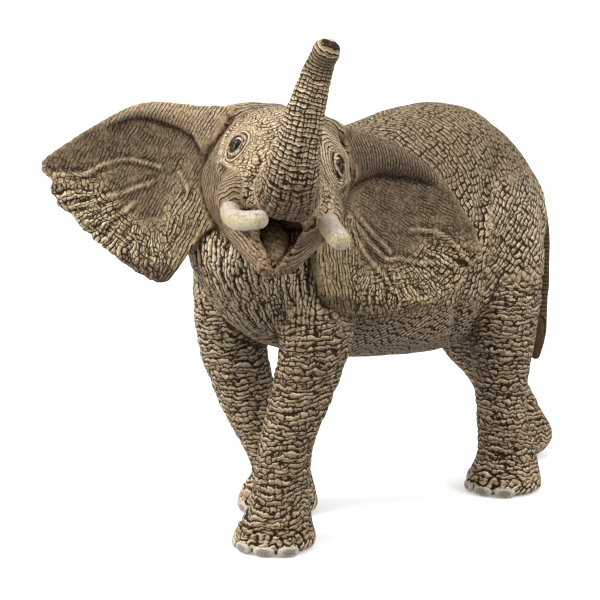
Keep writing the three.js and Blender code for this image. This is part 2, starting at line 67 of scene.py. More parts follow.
def step(low, high, value):
    t = np.clip((value - low) / (high - low), 0, 1)
    return t * t * (3 - 2 * t)


def hump(value, middle, width):
    return np.exp(-(((value - middle) / width) ** 2))


def zigzag(value):
    """From 1 at each whole number to 0 half way between them."""
    return np.abs((value % 1) * 2 - 1)


def unit(rows):
    return rows / np.linalg.norm(rows, axis=-1, keepdims=True)


def noise(points, size, seed=0):
    """Gradient noise from about -1 to 1, with lumps of the given size: one or three numbers."""
    p = (points / np.asarray(size, float) + 17.3 * seed).T
    cell = np.floor(p).astype(np.int64)
    f = p - cell
    u = f * f * f * (f * (f * 6 - 15) + 10)
    total = 0
    for corner in itertools.product((0, 1), repeat=3):
        corner = np.array(corner)[:, None]
        i, j, k = (cell + corner) & 255
        slope = SLOPES[SHUFFLE[(SHUFFLE[(SHUFFLE[i] + j) & 255] + k) & 255]].T
        total = total + np.where(corner, u, 1 - u).prod(0) * (slope * (f - corner)).sum(0)
    return total * 1.6


def folds(points, size, seed=0):
    """Rounded ridges with narrow creases between them, from 0 in a crease to 1."""
    return np.minimum(1, np.abs(noise(points, size, seed)) * 2.6) ** 0.8


def smooth_path(points, steps):
    """A Catmull-Rom curve through rows of numbers, with that many steps to each row."""
    p = np.asarray(points, float)
    p = np.vstack([2 * p[0] - p[1], p, 2 * p[-1] - p[-2]])
    out = []
    for i in range(1, len(p) - 2):
        a, b, c, d = p[i - 1 : i + 3]
        for t in np.arange(steps) / steps:
            out.append(0.5 * (2 * b + (c - a) * t + (2 * a - 5 * b + 4 * c - d) * t**2
                              + (3 * b - a - 3 * c + d) * t**3))
    return np.array(out + [p[-2]])


def walk_of(path):
    """How far each point of a path is from its start."""
    return np.concatenate([[0], np.cumsum(np.linalg.norm(np.diff(path, axis=0), axis=1))])


def near_path(points, path):
    """For each point, how far it is from a path and how far along the path, in mm."""
    start = walk_of(path)
    best, along = np.full(len(points), 1e9), np.zeros(len(points))
    for a, b, before in zip(path, path[1:], start):
        length = np.linalg.norm(b - a)
        d = (b - a) / max(length, 1e-9)
        t = np.clip((points - a) @ d, 0, length)
        gap = np.linalg.norm(points - a - t[:, None] * d, axis=1)
        closer = gap < best
        best[closer], along[closer] = gap[closer], before + t[closer]
    return best, along


# Meshes as arrays of points and faces


def added(name, data):
    ob = bpy.data.objects.new(name, data)
    bpy.context.scene.collection.objects.link(ob)
    return ob


def mesh_object(name, points, faces):
    me = bpy.data.meshes.new(name)
    me.from_pydata(np.asarray(points).tolist(), [], np.asarray(faces).tolist())
    return added(name, me)


def read(items, field, width, kind=float):
    """The numbers of a mesh's points, corners or triangles, as rows."""
    out = np.empty(len(items) * width, kind)
    items.foreach_get(field, out)
    return out.reshape(-1, width)


def changed(objects, kind, **settings):
    """The first object's mesh under a modifier, as points, triangles and corners."""
    modifier = objects[0].modifiers.new(kind, kind)
    for key, value in settings.items():
        setattr(modifier, key, value)
    dg = bpy.context.evaluated_depsgraph_get()
    me = bpy.data.meshes.new_from_object(objects[0].evaluated_get(dg))
    me.calc_loop_triangles()
    out = (read(me.vertices, "co", 3), read(me.loop_triangles, "vertices", 3, np.int32),
           read(me.loops, "vertex_index", 1, np.int32))
    for old in [me, *(ob.data for ob in objects)]:
        bpy.data.meshes.remove(old)
    return out


def cad_solid(name):
    """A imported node's points, welded, and its triangles."""
    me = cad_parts[name].data
    me.calc_loop_triangles()
    co = np.round(read(me.vertices, "co", 3) * 1000, 3)
    points, back = np.unique(co, axis=0, return_inverse=True)
    tri = back.reshape(-1)[read(me.loop_triangles, "vertices", 3, np.int32)]
    return points, tri[(tri != np.roll(tri, 1, axis=1)).all(axis=1)]


def normals_of(points, faces):
    count = faces.shape[1]
    a, b, c, d = (points[faces[:, i % count]] for i in range(4))
    cross = np.cross(c - a, d - b)
    out = np.zeros_like(points)
    for i, k in itertools.product(range(count), range(3)):
        out[:, k] += np.bincount(faces[:, i], cross[:, k], len(points))
    return out / np.maximum(np.linalg.norm(out, axis=1), 1e-12)[:, None]


def joined(solids):
    points, faces = zip(*solids)
    starts = np.cumsum([0, *(len(p) for p in points)])
    return np.vstack(points), np.vstack([f + start for f, start in zip(faces, starts)])


def remeshed(points, faces, voxel):
    """The outside of overlapping solids as one mesh of even quads."""
    union = mesh_object("union", points, faces)
    co, _, corners = changed([union], "REMESH", mode="VOXEL", voxel_size=voxel, adaptivity=0)
    return largest(co, corners.reshape(-1, 4))


def carved(solid, cutters):
    """A solid with other solids cut out of it."""
    stock, cutter = mesh_object("stock", *solid), mesh_object("cutters", *joined(cutters))
    return changed([stock, cutter], "BOOLEAN", operation="DIFFERENCE", solver="EXACT", object=cutter)[:2]


def edges_of(faces):
    n = faces.shape[1]
    pairs = np.vstack([faces[:, [i, (i + 1) % n]] for i in range(n)])
    pairs.sort(axis=1)
    return np.unique(pairs, axis=0)


def largest(points, faces):
    """The largest connected piece of a mesh."""
    edges = edges_of(faces)
    label = np.arange(len(points))
    while True:
        a, b = label[edges].T
        if (a == b).all():
            break
        low = np.minimum(a, b)
        parent = np.arange(len(points))
        np.minimum.at(parent, a, low)
        np.minimum.at(parent, b, low)
        for _ in range(12):
            parent = parent[parent]
        label = parent[label]
    keep = label == np.bincount(label).argmax()
    number = np.cumsum(keep) - 1
    return points[keep], number[faces[keep[faces[:, 0]]]]


class Net:
    """The neighbours in a mesh, to spread values along its surface."""

    def __init__(self, faces, count):
        e = edges_of(faces)
        self.a, self.b, self.count = e[:, 0], e[:, 1], count
        self.degree = np.maximum(np.bincount(e.ravel(), minlength=count), 1)

    def mean(self, values):
        if values.ndim > 1:
            return np.stack([self.mean(column) for column in values.T], 1)
        total = np.bincount(self.a, values[self.b], self.count)
        total += np.bincount(self.b, values[self.a], self.count)
        return total / self.degree

    def spread(self, values, rounds, share=0.6):
        values = values.astype(float)
        for _ in range(rounds):
            values = values + share * (self.mean(values) - values)
        return values


def ring_quads(rings, sides):
    """The quads between closed rings of points."""
    i, k = np.divmod(np.arange((rings - 1) * sides), sides)
    a, n = i * sides, (k + 1) % sides
    return np.stack([a + k, a + n, a + n + sides, a + k + sides], 1)


def tube(rows, sides=20, steps=5, toward=(0, 0, 1), ends=3):
    """A closed tube. Each row is x, y, z and a radius, or a radius across and one upwards."""
    rows = smooth_path(rows, steps)
    centre, radius = rows[:, :3], np.broadcast_to(rows[:, 3:], (len(rows), 2))
    along = unit(np.gradient(centre, axis=0))
    toward = np.asarray(toward, float)
    angle = np.arange(sides) / sides * 2 * math.pi

    def ring(i, shrink=1, push=0):
        up = unit(toward - along[i] * (along[i] @ toward))
        aside = np.cross(along[i], up)
        return (centre[i] + along[i] * push + np.outer(np.cos(angle) * radius[i, 0] * shrink, aside)
                + np.outer(np.sin(angle) * radius[i, 1] * shrink, up))

    rounding = [(k + 0.4) / ends * math.pi / 2 for k in range(ends)]
    rings = [ring(0, math.sin(t), -math.cos(t) * radius[0].mean() * 0.8) for t in rounding]
    rings += [ring(i) for i in range(len(rows))]
    rings += [ring(-1, math.sin(t), math.cos(t) * radius[-1].mean() * 0.8) for t in rounding[::-1]]
    points = np.vstack([*rings, rings[0].mean(0), rings[-1].mean(0)])
    quads = ring_quads(len(rings), sides)
    first, last, end = len(points) - 2, len(points) - 1, (len(rings) - 1) * sides
    caps = []
    for k in range(sides):
        n = (k + 1) % sides
        caps += [[first, n, k], [last, end + k, end + n]]
    return points, np.vstack([quads[:, :3], quads[:, [0, 2, 3]], caps])


def ellipsoid(centre, half, around=24, down=14):
    heights = np.cos(np.arange(1, down) / down * math.pi)
    points, tri = tube([[0, 0, z, math.sqrt(1 - z * z)] for z in heights], around, 1, (0, 1, 0), 0)
    return points * half + centre, tri


# Places on the animal


def turned(axis, degrees):
    c, s = math.cos(math.radians(degrees)), math.sin(math.radians(degrees))
    i, j = {"x": (1, 2), "y": (2, 0), "z": (0, 1)}[axis]
    out = np.eye(3)
    out[i, i] = out[j, j] = c
    out[i, j], out[j, i] = -s, s
    return out


# The head's frame has +X to the animal's left, -Y forward and +Z up, from mid skull.
HEAD_TURN = turned("z", 55) @ turned("y", 11)
HEAD_PLACE = np.array([9.3, -57.25, 119.95])
# The body's frame has its middle plane at x 0.
BODY_PLACE = np.array([-14.72, 7.72, 0])
# Along the ground to the right hand of the photograph, and towards its camera
VIEW_RIGHT = np.array([0.68, 0.73, 0])
VIEW_NEAR = np.array([0.73, -0.68, 0])


def to_head(points):
    return (points - HEAD_PLACE) @ HEAD_TURN


def from_head(points):
    return np.asarray(points, float) @ HEAD_TURN.T + HEAD_PLACE


def head_rows(rows):
    """Rows of a tube, taken from the head's frame to the figure's."""
    return np.hstack([from_head(rows[:, :3]), rows[:, 3:]])


# An ear's frame has +X outwards along the ear, +Y out of its back and +Z up, from its hinge.
EAR_HINGE = np.array([19.32, 8, 0.92])
EAR_POSES = {"left": (21, 13), "right": (22, 4)}


def ear_frame(side):
    sweep, lean = EAR_POSES[side]
    mirror = np.diag([SIDES[side], 1, 1])
    turn = HEAD_TURN @ mirror @ turned("z", sweep) @ turned("x", -lean)
    return turn, HEAD_TURN @ mirror @ EAR_HINGE + HEAD_PLACE


def to_ear(points, side):
    turn, place = ear_frame(side)
    return (points - place) @ turn


def nail_middle(foot, i):
    """The middle of a packed toenail, in mm."""
    return np.add(*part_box(f"{foot}_toenail_{i + 1}")) * 500


TRUNK = np.array([
    (0, -13, 2.5, 9.2, 9.7), (-0.5, -22.4, 2.1, 8.9, 9.4), (-1.4, -31.4, 4.2, 8.8, 9.4),
    (-2.1, -37.3, 9.4, 8.3, 8.7), (-2.1, -39.8, 17.1, 6.9, 6.9), (-1.8, -40.6, 25, 6, 6.1),
    (-1.6, -40.6, 32, 5.4, 5.5), (-0.9, -40.6, 38.4, 4.8, 4.9), (-0.2, -41.1, 45, 4.3, 4.2),
    (0.5, -43.6, 50.3, 3.9, 3.8),
])
TUSKS = {
    "left": np.array([
        (12.9, -9.7, -0.6, 2.7), (13.2, -16.5, -3.6, 3.2), (13.5, -23.5, -5.6, 3.3), (13.9, -30.5, -6.5, 3.3),
        (14.3, -37.5, -7, 3.3), (14.6, -43.2, -7.2, 3.1),
    ]),
    "right": np.array([
        (-13.6, -9.7, 2.1, 2.7), (-15.8, -16.5, -2.5, 3.2), (-16.9, -23.5, -6.6, 3.3),
        (-16.2, -30.5, -8, 3.3), (-13.9, -37.5, -7, 3.2), (-10.6, -43.5, -4.9, 3),
    ]),
}
EYES = {"left": np.array([14.9, -10.2, 10.3]), "right": np.array([-15.82, -8.4, 10.8])}
EYE_POCKET = np.array([15.82, -8.4, 10.8])
# The open mouth, front to back: y, then the height of its roof, widest place and floor,
# then its half width at the roof, the widest place and the floor, and its middle.
MOUTH = np.array([
    (-3, -11.5, -13, -15.2, 3, 4.6, 3, 0), (-9, -9, -11.5, -16.8, 5.4, 7.8, 4, 0.3),
    (-15, -7.2, -10.8, -18.8, 6.8, 8.8, 3.2, 0.3), (-19.4, -6.7, -12.4, -20.8, 7.4, 6.7, 2.2, 0.1),
    (-22, -6.6, -14.4, -22, 7.6, 5, 1.4, -0.3), (-24, -6.6, -16.2, -22.8, 7.6, 3.7, 0.8, -0.8),
    (-27, -6.6, -19, -23.6, 7.6, 2.6, 0.5, -1), (-33, -10, -21, -24, 5, 2.4, 0.4, -1.2),
])
# The crown, from mid skull to the root of each ear.
CROWN = np.array([(0, 7, 20.5, 3.4), (7, 7.5, 20.6, 3.5), (13, 8.5, 19.8, 3.6), (19, 9.5, 18.2, 3.2)])
# The upper lip: it flares from under the trunk to both tusks.
LIP = np.array([
    (-13.2, -14.6, -1.6, 2.3), (-11.4, -18.2, -3, 2.9), (-7, -21.4, -4, 3.1), (0, -23.2, -4.1, 3.2),
    (7, -21.4, -3.7, 3.1), (11, -18.2, -2.7, 2.9), (12.8, -14.6, -1.6, 2.3),
])

# Ears

EAR_OUTLINES = {
    "right": [
        (-6, 12), (0.5, 18.7), (9.6, 17.6), (18.7, 16.6), (25.5, 15.3), (31.9, 12.2), (39.9, 5.6),
        (47.9, -1.6), (54.9, -9), (56.4, -11.3), (55.2, -13.3), (52, -15.6), (51.2, -19),
        (47.6, -22.7), (43, -25.3), (39, -27.9), (33.3, -31), (26.9, -34), (20.5, -36.8),
        (14.2, -39), (10.4, -39.2), (7.3, -37.3), (5.3, -33), (2.8, -27), (0.3, -22), (-6, -12),
    ],
    "left": [
        (-6, 12), (0.5, 18.5), (7, 18.4), (13, 17.8), (19.7, 16.5), (25.6, 14.5), (32.9, 11.2),
        (39.8, 7), (45.4, 1.7), (50.7, -4.3), (55.1, -9.6), (57.4, -14), (57, -17.2),
        (54, -20.6), (52.6, -23.9), (49.2, -27.4), (43.3, -31.4), (34, -35.3), (26.4, -37.2),
        (15.2, -39), (6, -38.9), (0.7, -36.2), (-3, -30), (-6, -18),
    ],
}
EAR_MIDDLE = np.array([20.5, -11.5])
# What a thin edge loses when the skin is smoothed.
EAR_SPARE = 0.5
# The rolled upper edge: places along the ear, how deep it reaches below the edge there, and how
# far it stands out.
EAR_ROLLS = {
    "right": ((-6, 5, 9, 15, 21.5, 27, 32, 40), (18, 15, 9.5, 7.2, 5.6, 4.4, 3.6, 2),
              (3.4, 3.4, 3, 2.4, 1.9, 1.4, 0.9, 0)),
    "left": ((-6, 4.5, 7, 16.5, 24, 30, 36.5, 44), (20, 18.5, 16, 11, 8.8, 6.6, 4, 2),
             (5, 5, 4.8, 4.4, 3.6, 2.3, 1.2, 0)),
}
EAR_VEINS = {
    "right": [
        [(51, -13), (44.3, -12.1), (40.1, -9.8), (37.2, -7.3), (32.9, -5), (27.9, -3.6), (18.4, -3.8)],
        [(44, -22), (38.5, -20.6), (35.6, -18), (32, -15.9), (28.9, -14.8), (26, -12.6), (20, -9)],
        [(33, -27), (30.5, -23), (27, -20), (24.5, -16.5)],
        [(12, -4), (9.3, -6), (7.6, -9), (7.4, -12)],
    ],
    "left": [
        [(6, -8), (9.7, -11.2), (14.5, -14.6), (21, -19.2), (23.4, -20.7), (28, -20), (31.1, -20.4),
         (35.7, -20.8), (41.9, -20.1), (48.3, -20.9), (52.3, -21.9)],
        [(6, -9), (8.3, -12.6), (13.4, -18.6), (19.1, -23.3), (23.2, -26.8), (25, -29.9),
         (27.5, -31.6), (27.2, -36.8)],
        [(31.7, -10.6), (37.9, -10), (42.6, -10.9), (49.3, -14.9), (52.8, -19.2)],
        [(12, -9), (17, -12.4), (22, -16), (25, -18.5)],
    ],
}


class Ear:
    """The shape of an ear in its own frame."""

    def __init__(self, side):
        self.side = side
        outline = smooth_path(EAR_OUTLINES[side] + EAR_OUTLINES[side][:1], 10)[:-1]
        self.closed = np.vstack([outline, outline[:1]])
        self.walk = walk_of(self.closed)
        spoke = outline - EAR_MIDDLE
        angle = np.arctan2(spoke[:, 1], spoke[:, 0])
        order = np.argsort(angle)
        self.run_angle, self.run = angle[order], self.walk[:-1][order]
        self.angle = np.concatenate([self.run_angle + turn for turn in (-2 * math.pi, 0, 2 * math.pi)])
        self.reach = np.tile(np.linalg.norm(spoke, axis=1)[order], 3)
        top = outline[outline[:, 1] > -12]
        top = top[np.argsort(top[:, 0])]
        self.top = top[top[:, 1] > 17 - 0.012 * (top[:, 0] - 8) ** 2 - 6]

    def place(self, x, z):
        """Share of the way from the middle to the rim, and mm run along the rim."""
        dx, dz = x - EAR_MIDDLE[0], z - EAR_MIDDLE[1]
        angle = np.arctan2(dz, dx)
        share = np.hypot(dx, dz) / np.interp(angle, self.angle, self.reach)
        return share, np.interp(angle, self.run_angle, self.run)

    def masks(self, x, z):
        """How much each place belongs to the roll, the fan of ridges and the inner arcs."""
        share, run = self.place(x, z)
        at, wide, _ = EAR_ROLLS[self.side]
        down = (np.interp(x, self.top[:, 0], self.top[:, 1]) - z) / np.interp(x, at, wide)
        roll = step(1.08, 0.9, down) * step(44, 34, x)
        low = step(2, -14, z + 0.25 * (x - 20))
        fan = low * step(0.3, 0.6, share) * step(6, 12, x) * (1 - roll)
        inner = low * step(17, 8, x) * step(-4, -12, z)
        return share, run, down, roll, fan, inner

    def vein_gaps(self, x, z):
        """How far each place is from each vein, vein by vein."""
        for vein in EAR_VEINS[self.side]:
            yield near_path(np.stack([x, z], 1), smooth_path(vein, 5))[0]

    def relief(self, x, z):
        """How far the front stands out of the plain cupped blade, in mm."""
        _, run, down, roll, fan, inner = self.masks(x, z)
        at, _, high = EAR_ROLLS[self.side]
        t = np.clip(down, 0, 1) ** 1.25
        out = np.interp(x, at, high) * np.sqrt(np.clip(1 - (2 * t - 1) ** 2, 0, 1)) * step(44, 36, x)
        flat = flat_of(x, z)
        warp = 1.2 * noise(flat, 7, 3)
        out = out + fan * 0.5 * (zigzag(run / 4.2 + 0.5 * warp) - 0.5)
        out = out + inner * 0.45 * (zigzag((x + 0.28 * z) / 2.7 + 0.35 * warp) - 0.5)
        wide = 0.65 + 0.15 * noise(flat, 3, 5)
        for gap in self.vein_gaps(x, z):
            out = out + 0.5 * hump(gap, 0, wide) - 0.2 * hump(gap, 1.4, 0.7)
        rough = 0.22 * noise(flat, 5, 1) * (1 - roll)
        return out + rough + 0.12 * noise(flat, 2.4, 2) * step(0, -12, z)

    def sheet(self, x, z, share, face):
        """Points on the front face of the blade, -1, or on its back, 1."""
        free = step(0, 22, x)
        flat = flat_of(x, z)
        lower = step(4, -10, z) * step(0, 12, x)
        wave = (1.3 * noise(flat, 8, 21) + 0.5 * noise(flat, 3.5, 22)) * share**5 * lower * free
        y = 5 * (1 - share**2) * free + wave
        half = (2.3 + (1.25 - 2.3) * share**2) / 2 + 1.6 * step(5, -3, x)
        if face < 0:
            y = y - half - self.relief(x, z) * step(1.0, 0.93, share)
        else:
            back = 0.3 * noise(flat, 6, 31) + 0.25 * folds(flat, (5, 9, 5), 32)
            y = y + half + back * step(1.0, 0.9, share)
        return np.stack([x, y, z], 1)

    def solid(self, rough=False):
        spokes, rings = (60, 8) if rough else ((420, 64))
        at = np.arange(spokes) / spokes * self.walk[-1]
        edge = np.stack([np.interp(at, self.walk, self.closed[:, k]) for k in (0, 1)], 1)
        free = step(2, 14, edge[:, 0]) * step(6, -8, edge[:, 1])
        ragged = flat_of(*edge.T)
        notch = np.abs(noise(ragged, 3.2, 11)) * 1.5 + 0.35 * noise(ragged, 1.3, 12)
        spoke = edge - EAR_MIDDLE
        long = np.linalg.norm(spoke, axis=1) + EAR_SPARE - free * (notch - 0.35)
        points = []
        for face in (-1, 1):
            for k in range(rings):
                share = np.full(spokes, 1 - (1 - (k + 1) / rings) ** 1.15)
                xz = EAR_MIDDLE + unit(spoke) * (long * share)[:, None]
                points.append(self.sheet(*xz.T, share, face))
            points.append(self.sheet(*EAR_MIDDLE[:, None], np.zeros(1), face))
        half = rings * spokes + 1
        quads = ring_quads(rings, spokes)
        k = np.arange(spokes)
        n = (k + 1) % spokes
        front = np.vstack([np.stack([0 * k + half - 1, k, n], 1), quads[:, [0, 3, 2]], quads[:, [0, 2, 1]]])
        k, n = k + half - 1 - spokes, n + half - 1 - spokes
        rim = [np.stack([k, k + half, n + half], 1), np.stack([k, n + half, n], 1)]
        tri = np.vstack([front, front[:, ::-1] + half, *rim])
        turn, place = ear_frame(self.side)
        points = np.vstack(points) @ turn.T + place
        a, b, c = (points[tri[:, i]] for i in range(3))
        inside_out = np.einsum("ij,ij->i", np.cross(a, b), c).sum() < 0
        return points, tri[:, ::-1] if inside_out else tri


def flat_of(x, z):
    return np.stack([x, z, 0 * x], 1)


ears = {side: Ear(side) for side in SIDES}

# The skin of all the moulded pieces as one mesh


def grown(name, margin):
    points, tri = cad_solid(name)
    return points + normals_of(points, tri) * margin, tri


def plugs():
    """Fillings for the pockets of the eyes, tusks and nails, the crown and the upper lip."""
    out = [tube(head_rows(LIP))]
    for name, side in SIDES.items():
        root = head_rows(TUSKS[name][:3])
        root[:, 3] = (3.1, 3.5, 2.6)
        out += [tube(head_rows(CROWN * [side, 1, 1, 1])),
                ellipsoid(from_head(EYE_POCKET * [side, 1, 1]), (2.55, 2.55, 2.55)), tube(root)]
    for foot, count in NAILS.items():
        for i in range(count):
            points, tri = cad_solid(f"{foot}_toenail_{i + 1}")
            middle = points.mean(0)
            out.append((middle + (points - middle) * 0.96, tri))
    return out


def mouth_solid():
    rings = []
    for y, roof, wide_at, floor, top, wide, low, middle in smooth_path(MOUTH, 3):
        right = [(top * 0.7, roof), (top, roof + 0.25 * (wide_at - roof)), (wide, wide_at),
                 (0.75 * wide + 0.25 * low, 0.6 * wide_at + 0.4 * floor), (low, 0.1 * wide_at + 0.9 * floor)]
        ring = right + [(0, floor)] + [(-a, b) for a, b in reversed(right)]
        rings.append([(middle + a, y, b) for a, b in ring])
    count = len(rings[0])
    quads = ring_quads(len(rings), count)
    last = (len(rings) - 1) * count
    caps = [[[0, k, k + 1], [last, last + k + 1, last + k]] for k in range(1, count - 1)]
    sides = np.stack([quads[:, [0, 3, 2]], quads[:, [0, 2, 1]]], 1).reshape(-1, 3)
    return from_head(np.array(rings).reshape(-1, 3)), np.vstack([sides, np.reshape(caps, (-1, 3))])


def nostrils():
    end = TRUNK[-1, :3]
    along = unit(end - TRUNK[-2, :3])
    for side in SIDES.values():
        start = end + np.array([1.75 * side, 0.3, 0])
        rows = [(*from_head(start + along * t), r) for t, r in ((-1.5, 0.7), (1, 1.1), (6, 1.6))]
        yield tube(rows, 12, 2)


thick = [name for name in SKIN if not name.endswith("_ear") and name != "tail"]
base, quads = remeshed(*joined([grown(name, 0.28) for name in thick] + plugs()), COARSE_VOXEL)
base = Net(quads, len(base)).spread(base, 12, 0.55)
base, base_tri = carved((base, np.vstack([quads[:, :3], quads[:, [0, 2, 3]]])), [mouth_solid(), *nostrils()])
fine = [(base, base_tri), grown("tail", 0.35), *(ear.solid() for ear in ears.values())]
P, quads = remeshed(*joined(fine), FINE_VOXEL)
net = Net(quads, len(P))
P = net.spread(P, 4, 0.5)

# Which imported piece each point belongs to

cad = [cad_solid(name) for name in SKIN]
cad_points, cad_faces = joined(cad)
owner = np.repeat(np.arange(len(SKIN)), [len(faces) for _, faces in cad])
tree = BVHTree.FromPolygons(cad_points.tolist(), cad_faces.tolist())
label = owner[[tree.find_nearest(Vector(p))[2] for p in P.tolist()]]


def on(*names):
    """Which points belong to the named pieces."""
    return np.isin(label, [SKIN.index(name) for name in names])


weights = {name: net.spread(on(name).astype(float), 34) for name in SKIN}
legs_w = np.clip(sum(weights[n] for n in LEGS), 0, 1)
body_w = np.clip(weights["torso"] + legs_w, 0, 1)
head_w = np.clip(weights["head"] + weights["lower_jaw"], 0, 1)
N = unit(net.spread(normals_of(P, quads), 3))
B = P - BODY_PLACE
x, y, z = B.T
head_P = to_head(P)
hx, hy, hz = head_P.T
ear_P = {side: to_ear(P, side) for side in SIDES}

# Sculpting: mm out along the normal


def stroke(paths, wide, high, at, sides=(1,)):
    """Ridges along paths, or grooves where high is negative."""
    total = np.zeros(len(at))
    for points, side in itertools.product(paths, sides):
        line = smooth_path(points, 4) * np.array([side, 1, 1])
        near = np.all((at > line.min(0) - 3 * wide) & (at < line.max(0) + 3 * wide), axis=1)
        if near.any():
            total[near] += high * hump(near_path(at[near], line)[0], 0, wide)
    return total


out = body_w * (0.26 * noise(P, 11, 1) + 0.13 * noise(P, 4.5, 2))
low_leg = legs_w * step(88, 66, z)
leg_folds = 0.42 * (folds(P, (11, 11, 3.1), 4) - 0.6) + 0.2 * (folds(P, (4.5, 4.5, 2.2), 7) - 0.6)
out += low_leg * step(7, 16, z) * leg_folds
hip = weights["torso"] * step(2, 32, y) + np.clip(weights["rear_left_leg"] + weights["rear_right_leg"], 0, 1)
hip = np.clip(hip, 0, 1) * step(58, 70, z) * step(122, 104, z)
out += hip * 0.34 * (folds(B @ turned("x", -34), (9, 13, 3.2), 8) - 0.6)
chest = np.clip(weights["torso"] + weights["front_left_leg"] + weights["front_right_leg"], 0, 1)
chest = chest * step(-42, -60, y) * step(62, 76, z)
# Round the chest, from its middle line, in mm
across = 42 * np.arctan2(x, np.maximum(1, -(y + 32)))
drape = np.stack([across + 1.2 * noise(P, 9, 9), 0.25 * z, 0.1 * y], 1)
out += chest * (0.85 * (folds(drape, 3.4, 5) - 0.6) + 0.25 * (folds(P, (2.2, 2.2, 5), 6) - 0.6))

GROOVE = [(23.2, 37.1, 120), (29.2, 25.8, 110), (31.6, 19.1, 101), (32.2, 16.8, 93), (31.1, 15.2, 83),
          (27.7, 15, 72), (20, 19.9, 60)]
SECOND = [(24, 44, 108), (30, 35, 98), (32, 29, 88), (32, 26, 78), (29, 26, 68)]
mirrored = np.stack([np.abs(x), y, z], 1)
groove_gap = np.full(len(P), 99.0)
near = (y > -15) & (y < 60) & (z > 50)
groove_gap[near] = near_path(mirrored[near], smooth_path(GROOVE, 5))[0]
_, groove_y, groove_z = np.array(GROOVE)[::-1].T
groove_side = np.sign(y - np.interp(z, groove_z, groove_y))
out += body_w * (-1.0 * hump(groove_gap, 0, 3.2) + stroke([SECOND], 2.2, -0.45, mirrored))

# Strokes on the head: how wide and high they are, whether on both sides, and their paths
BOUNDARY_Z = (-6, 1.2, 4.6, 8.3, 11.9, 15.9, 19.6, 22, 23.4)
BOUNDARY_Y = (-12, -8.2, -4.8, -3.5, -1, 1.8, 3.2, 3.8, 3.8)
HEAD_STROKES = [
    (1.4, 0.6, True, [(2.6, 9.6, 23.4), (8.4, 7.7, 22.1), (13.1, 5.6, 19.6), (17.2, 2.4, 15.9),
                      (19.4, -1, 11.9), (20.3, -3.5, 8.3), (20.7, -4.8, 4.6), (19.5, -8.2, 1.2)]),
    (3.2, -0.9, True, [(20, 4, 17), (22, 6, 10), (22.5, 3, 3), (22, -1, -2)]),
    (0.8, 0.4, True, [(19.7, -7, 5.5), (17.5, -12, 4.6), (15, -17, 2.4)], [(20, -5, 2.2), (18, -12, 1.2)]),
    (1.5, 0.7, True, [(12, -15, 16.5), (15, -11, 17), (18, -6, 15.8)]),
    (2.4, -0.3, True, [(5, -9, 21), (8, -14.5, 14), (9.6, -19, 8), (11, -22, 2)]),
    (0.55, -0.5, False, [(13.7, -14.6, 9.4), (16.6, -12.4, 6.4), (18.7, -9.1, 9)]),
    (0.6, -0.4, False, [(13, -15.5, 7.4), (16.8, -12.6, 3.8), (19.4, -8.8, 6.6)]),
]
behind = hy - np.interp(hz, BOUNDARY_Z, BOUNDARY_Y)
head_relief = sum(stroke(paths, wide, high, head_P, (1, -1) if both else (1,))
                  for wide, high, both, *paths in HEAD_STROKES)
out += head_w * (head_relief + 0.22 * noise(P, 4, 6))

# The eyes: each has an axis straight out of the head, and a distance from it for the lids.
eye_gap, eye_centre = {}, {}
for side in SIDES:
    from_eye = head_P - EYES[side]
    around = np.linalg.norm(from_eye, axis=1) < 7
    axis = unit((N[around] @ HEAD_TURN).mean(0))
    height = from_eye @ axis
    aside = from_eye - height[:, None] * axis
    gap = np.linalg.norm(aside * [1.14, 1.14, 0.78], axis=1) + 50 * (height < -4)
    eye_gap[side] = gap
    eye_centre[side] = EYES[side] + axis * (height[around & (gap < 1.6)].mean() - 1.55)
    brow = 0.35 * hump(aside[:, 2], 2.6, 1.5)
    out += head_w * ((0.9 + brow) * hump(gap, 2.85, 0.5) - 1.4 * step(2.4, 1.7, gap)
                     - 0.25 * hump(gap, 3.6, 0.35) + 0.25 * hump(gap, 4.4, 0.5))

# The trunk: how far up, and how far round from the side that faces the mouth

trunk_path = smooth_path(TRUNK, 6)
trunk_line = from_head(trunk_path[:, :3])
walk = walk_of(trunk_line)
trunk_length = walk[-1]
trunk_near = (weights["trunk"] > 0.02) | (hy < -12) & (hz > -9) & (np.abs(hx) < 16)
trunk_along = np.zeros(len(P))
trunk_along[trunk_near] = near_path(P[trunk_near], trunk_line)[1]


def along_trunk(rows):
    """Values at the points, from one for each row of the trunk's path."""
    return np.stack([np.interp(trunk_along, walk, column) for column in rows.T], 1)


centre, lead = along_trunk(trunk_path[:, :3]), along_trunk(np.gradient(trunk_path[:, :3], axis=0))
front_way = np.cross(lead, [1, 0, 0])
front_way /= np.maximum(np.linalg.norm(front_way, axis=1), 1e-9)[:, None]
if front_way[np.argmax(trunk_along)][1] > 0:
    front_way = -front_way
trunk_turn = np.arctan2(hx - centre[:, 0], np.einsum("ij,ij->i", head_P - centre, front_way))
below = step(-0.15, 0.35, np.cos(trunk_turn))
dark_side = step(-0.85, -0.35, np.cos(trunk_turn))
trunk_w = step(0.4, 0.9, weights["trunk"])
ring_size = np.interp(0.5 * (walk[1:] + walk[:-1]), (0, 25, 60, 95), (1.2, 1.35, 1.3, 1.1))
ring_run = np.interp(trunk_along, walk, np.concatenate([[0], np.cumsum(np.diff(walk) / ring_size)]))
girth = np.interp(trunk_along, walk, trunk_path[:, 3])
rolled_out = np.stack([trunk_turn * girth * 0.3, trunk_along, 0 * girth], 1)
out += trunk_w * 0.36 * (folds(rolled_out, 2.4, 12) - 0.5)
trunk_columns = 18 + 22 * step(50, 18, trunk_along)
furrow = (trunk_turn / (2 * math.pi) * 16 + 0.5 + 0.25 * noise(P, 8, 14)) % 1
out -= trunk_w * below * 0.35 * hump(furrow, 0.5, 0.15) * step(62, 45, trunk_along)


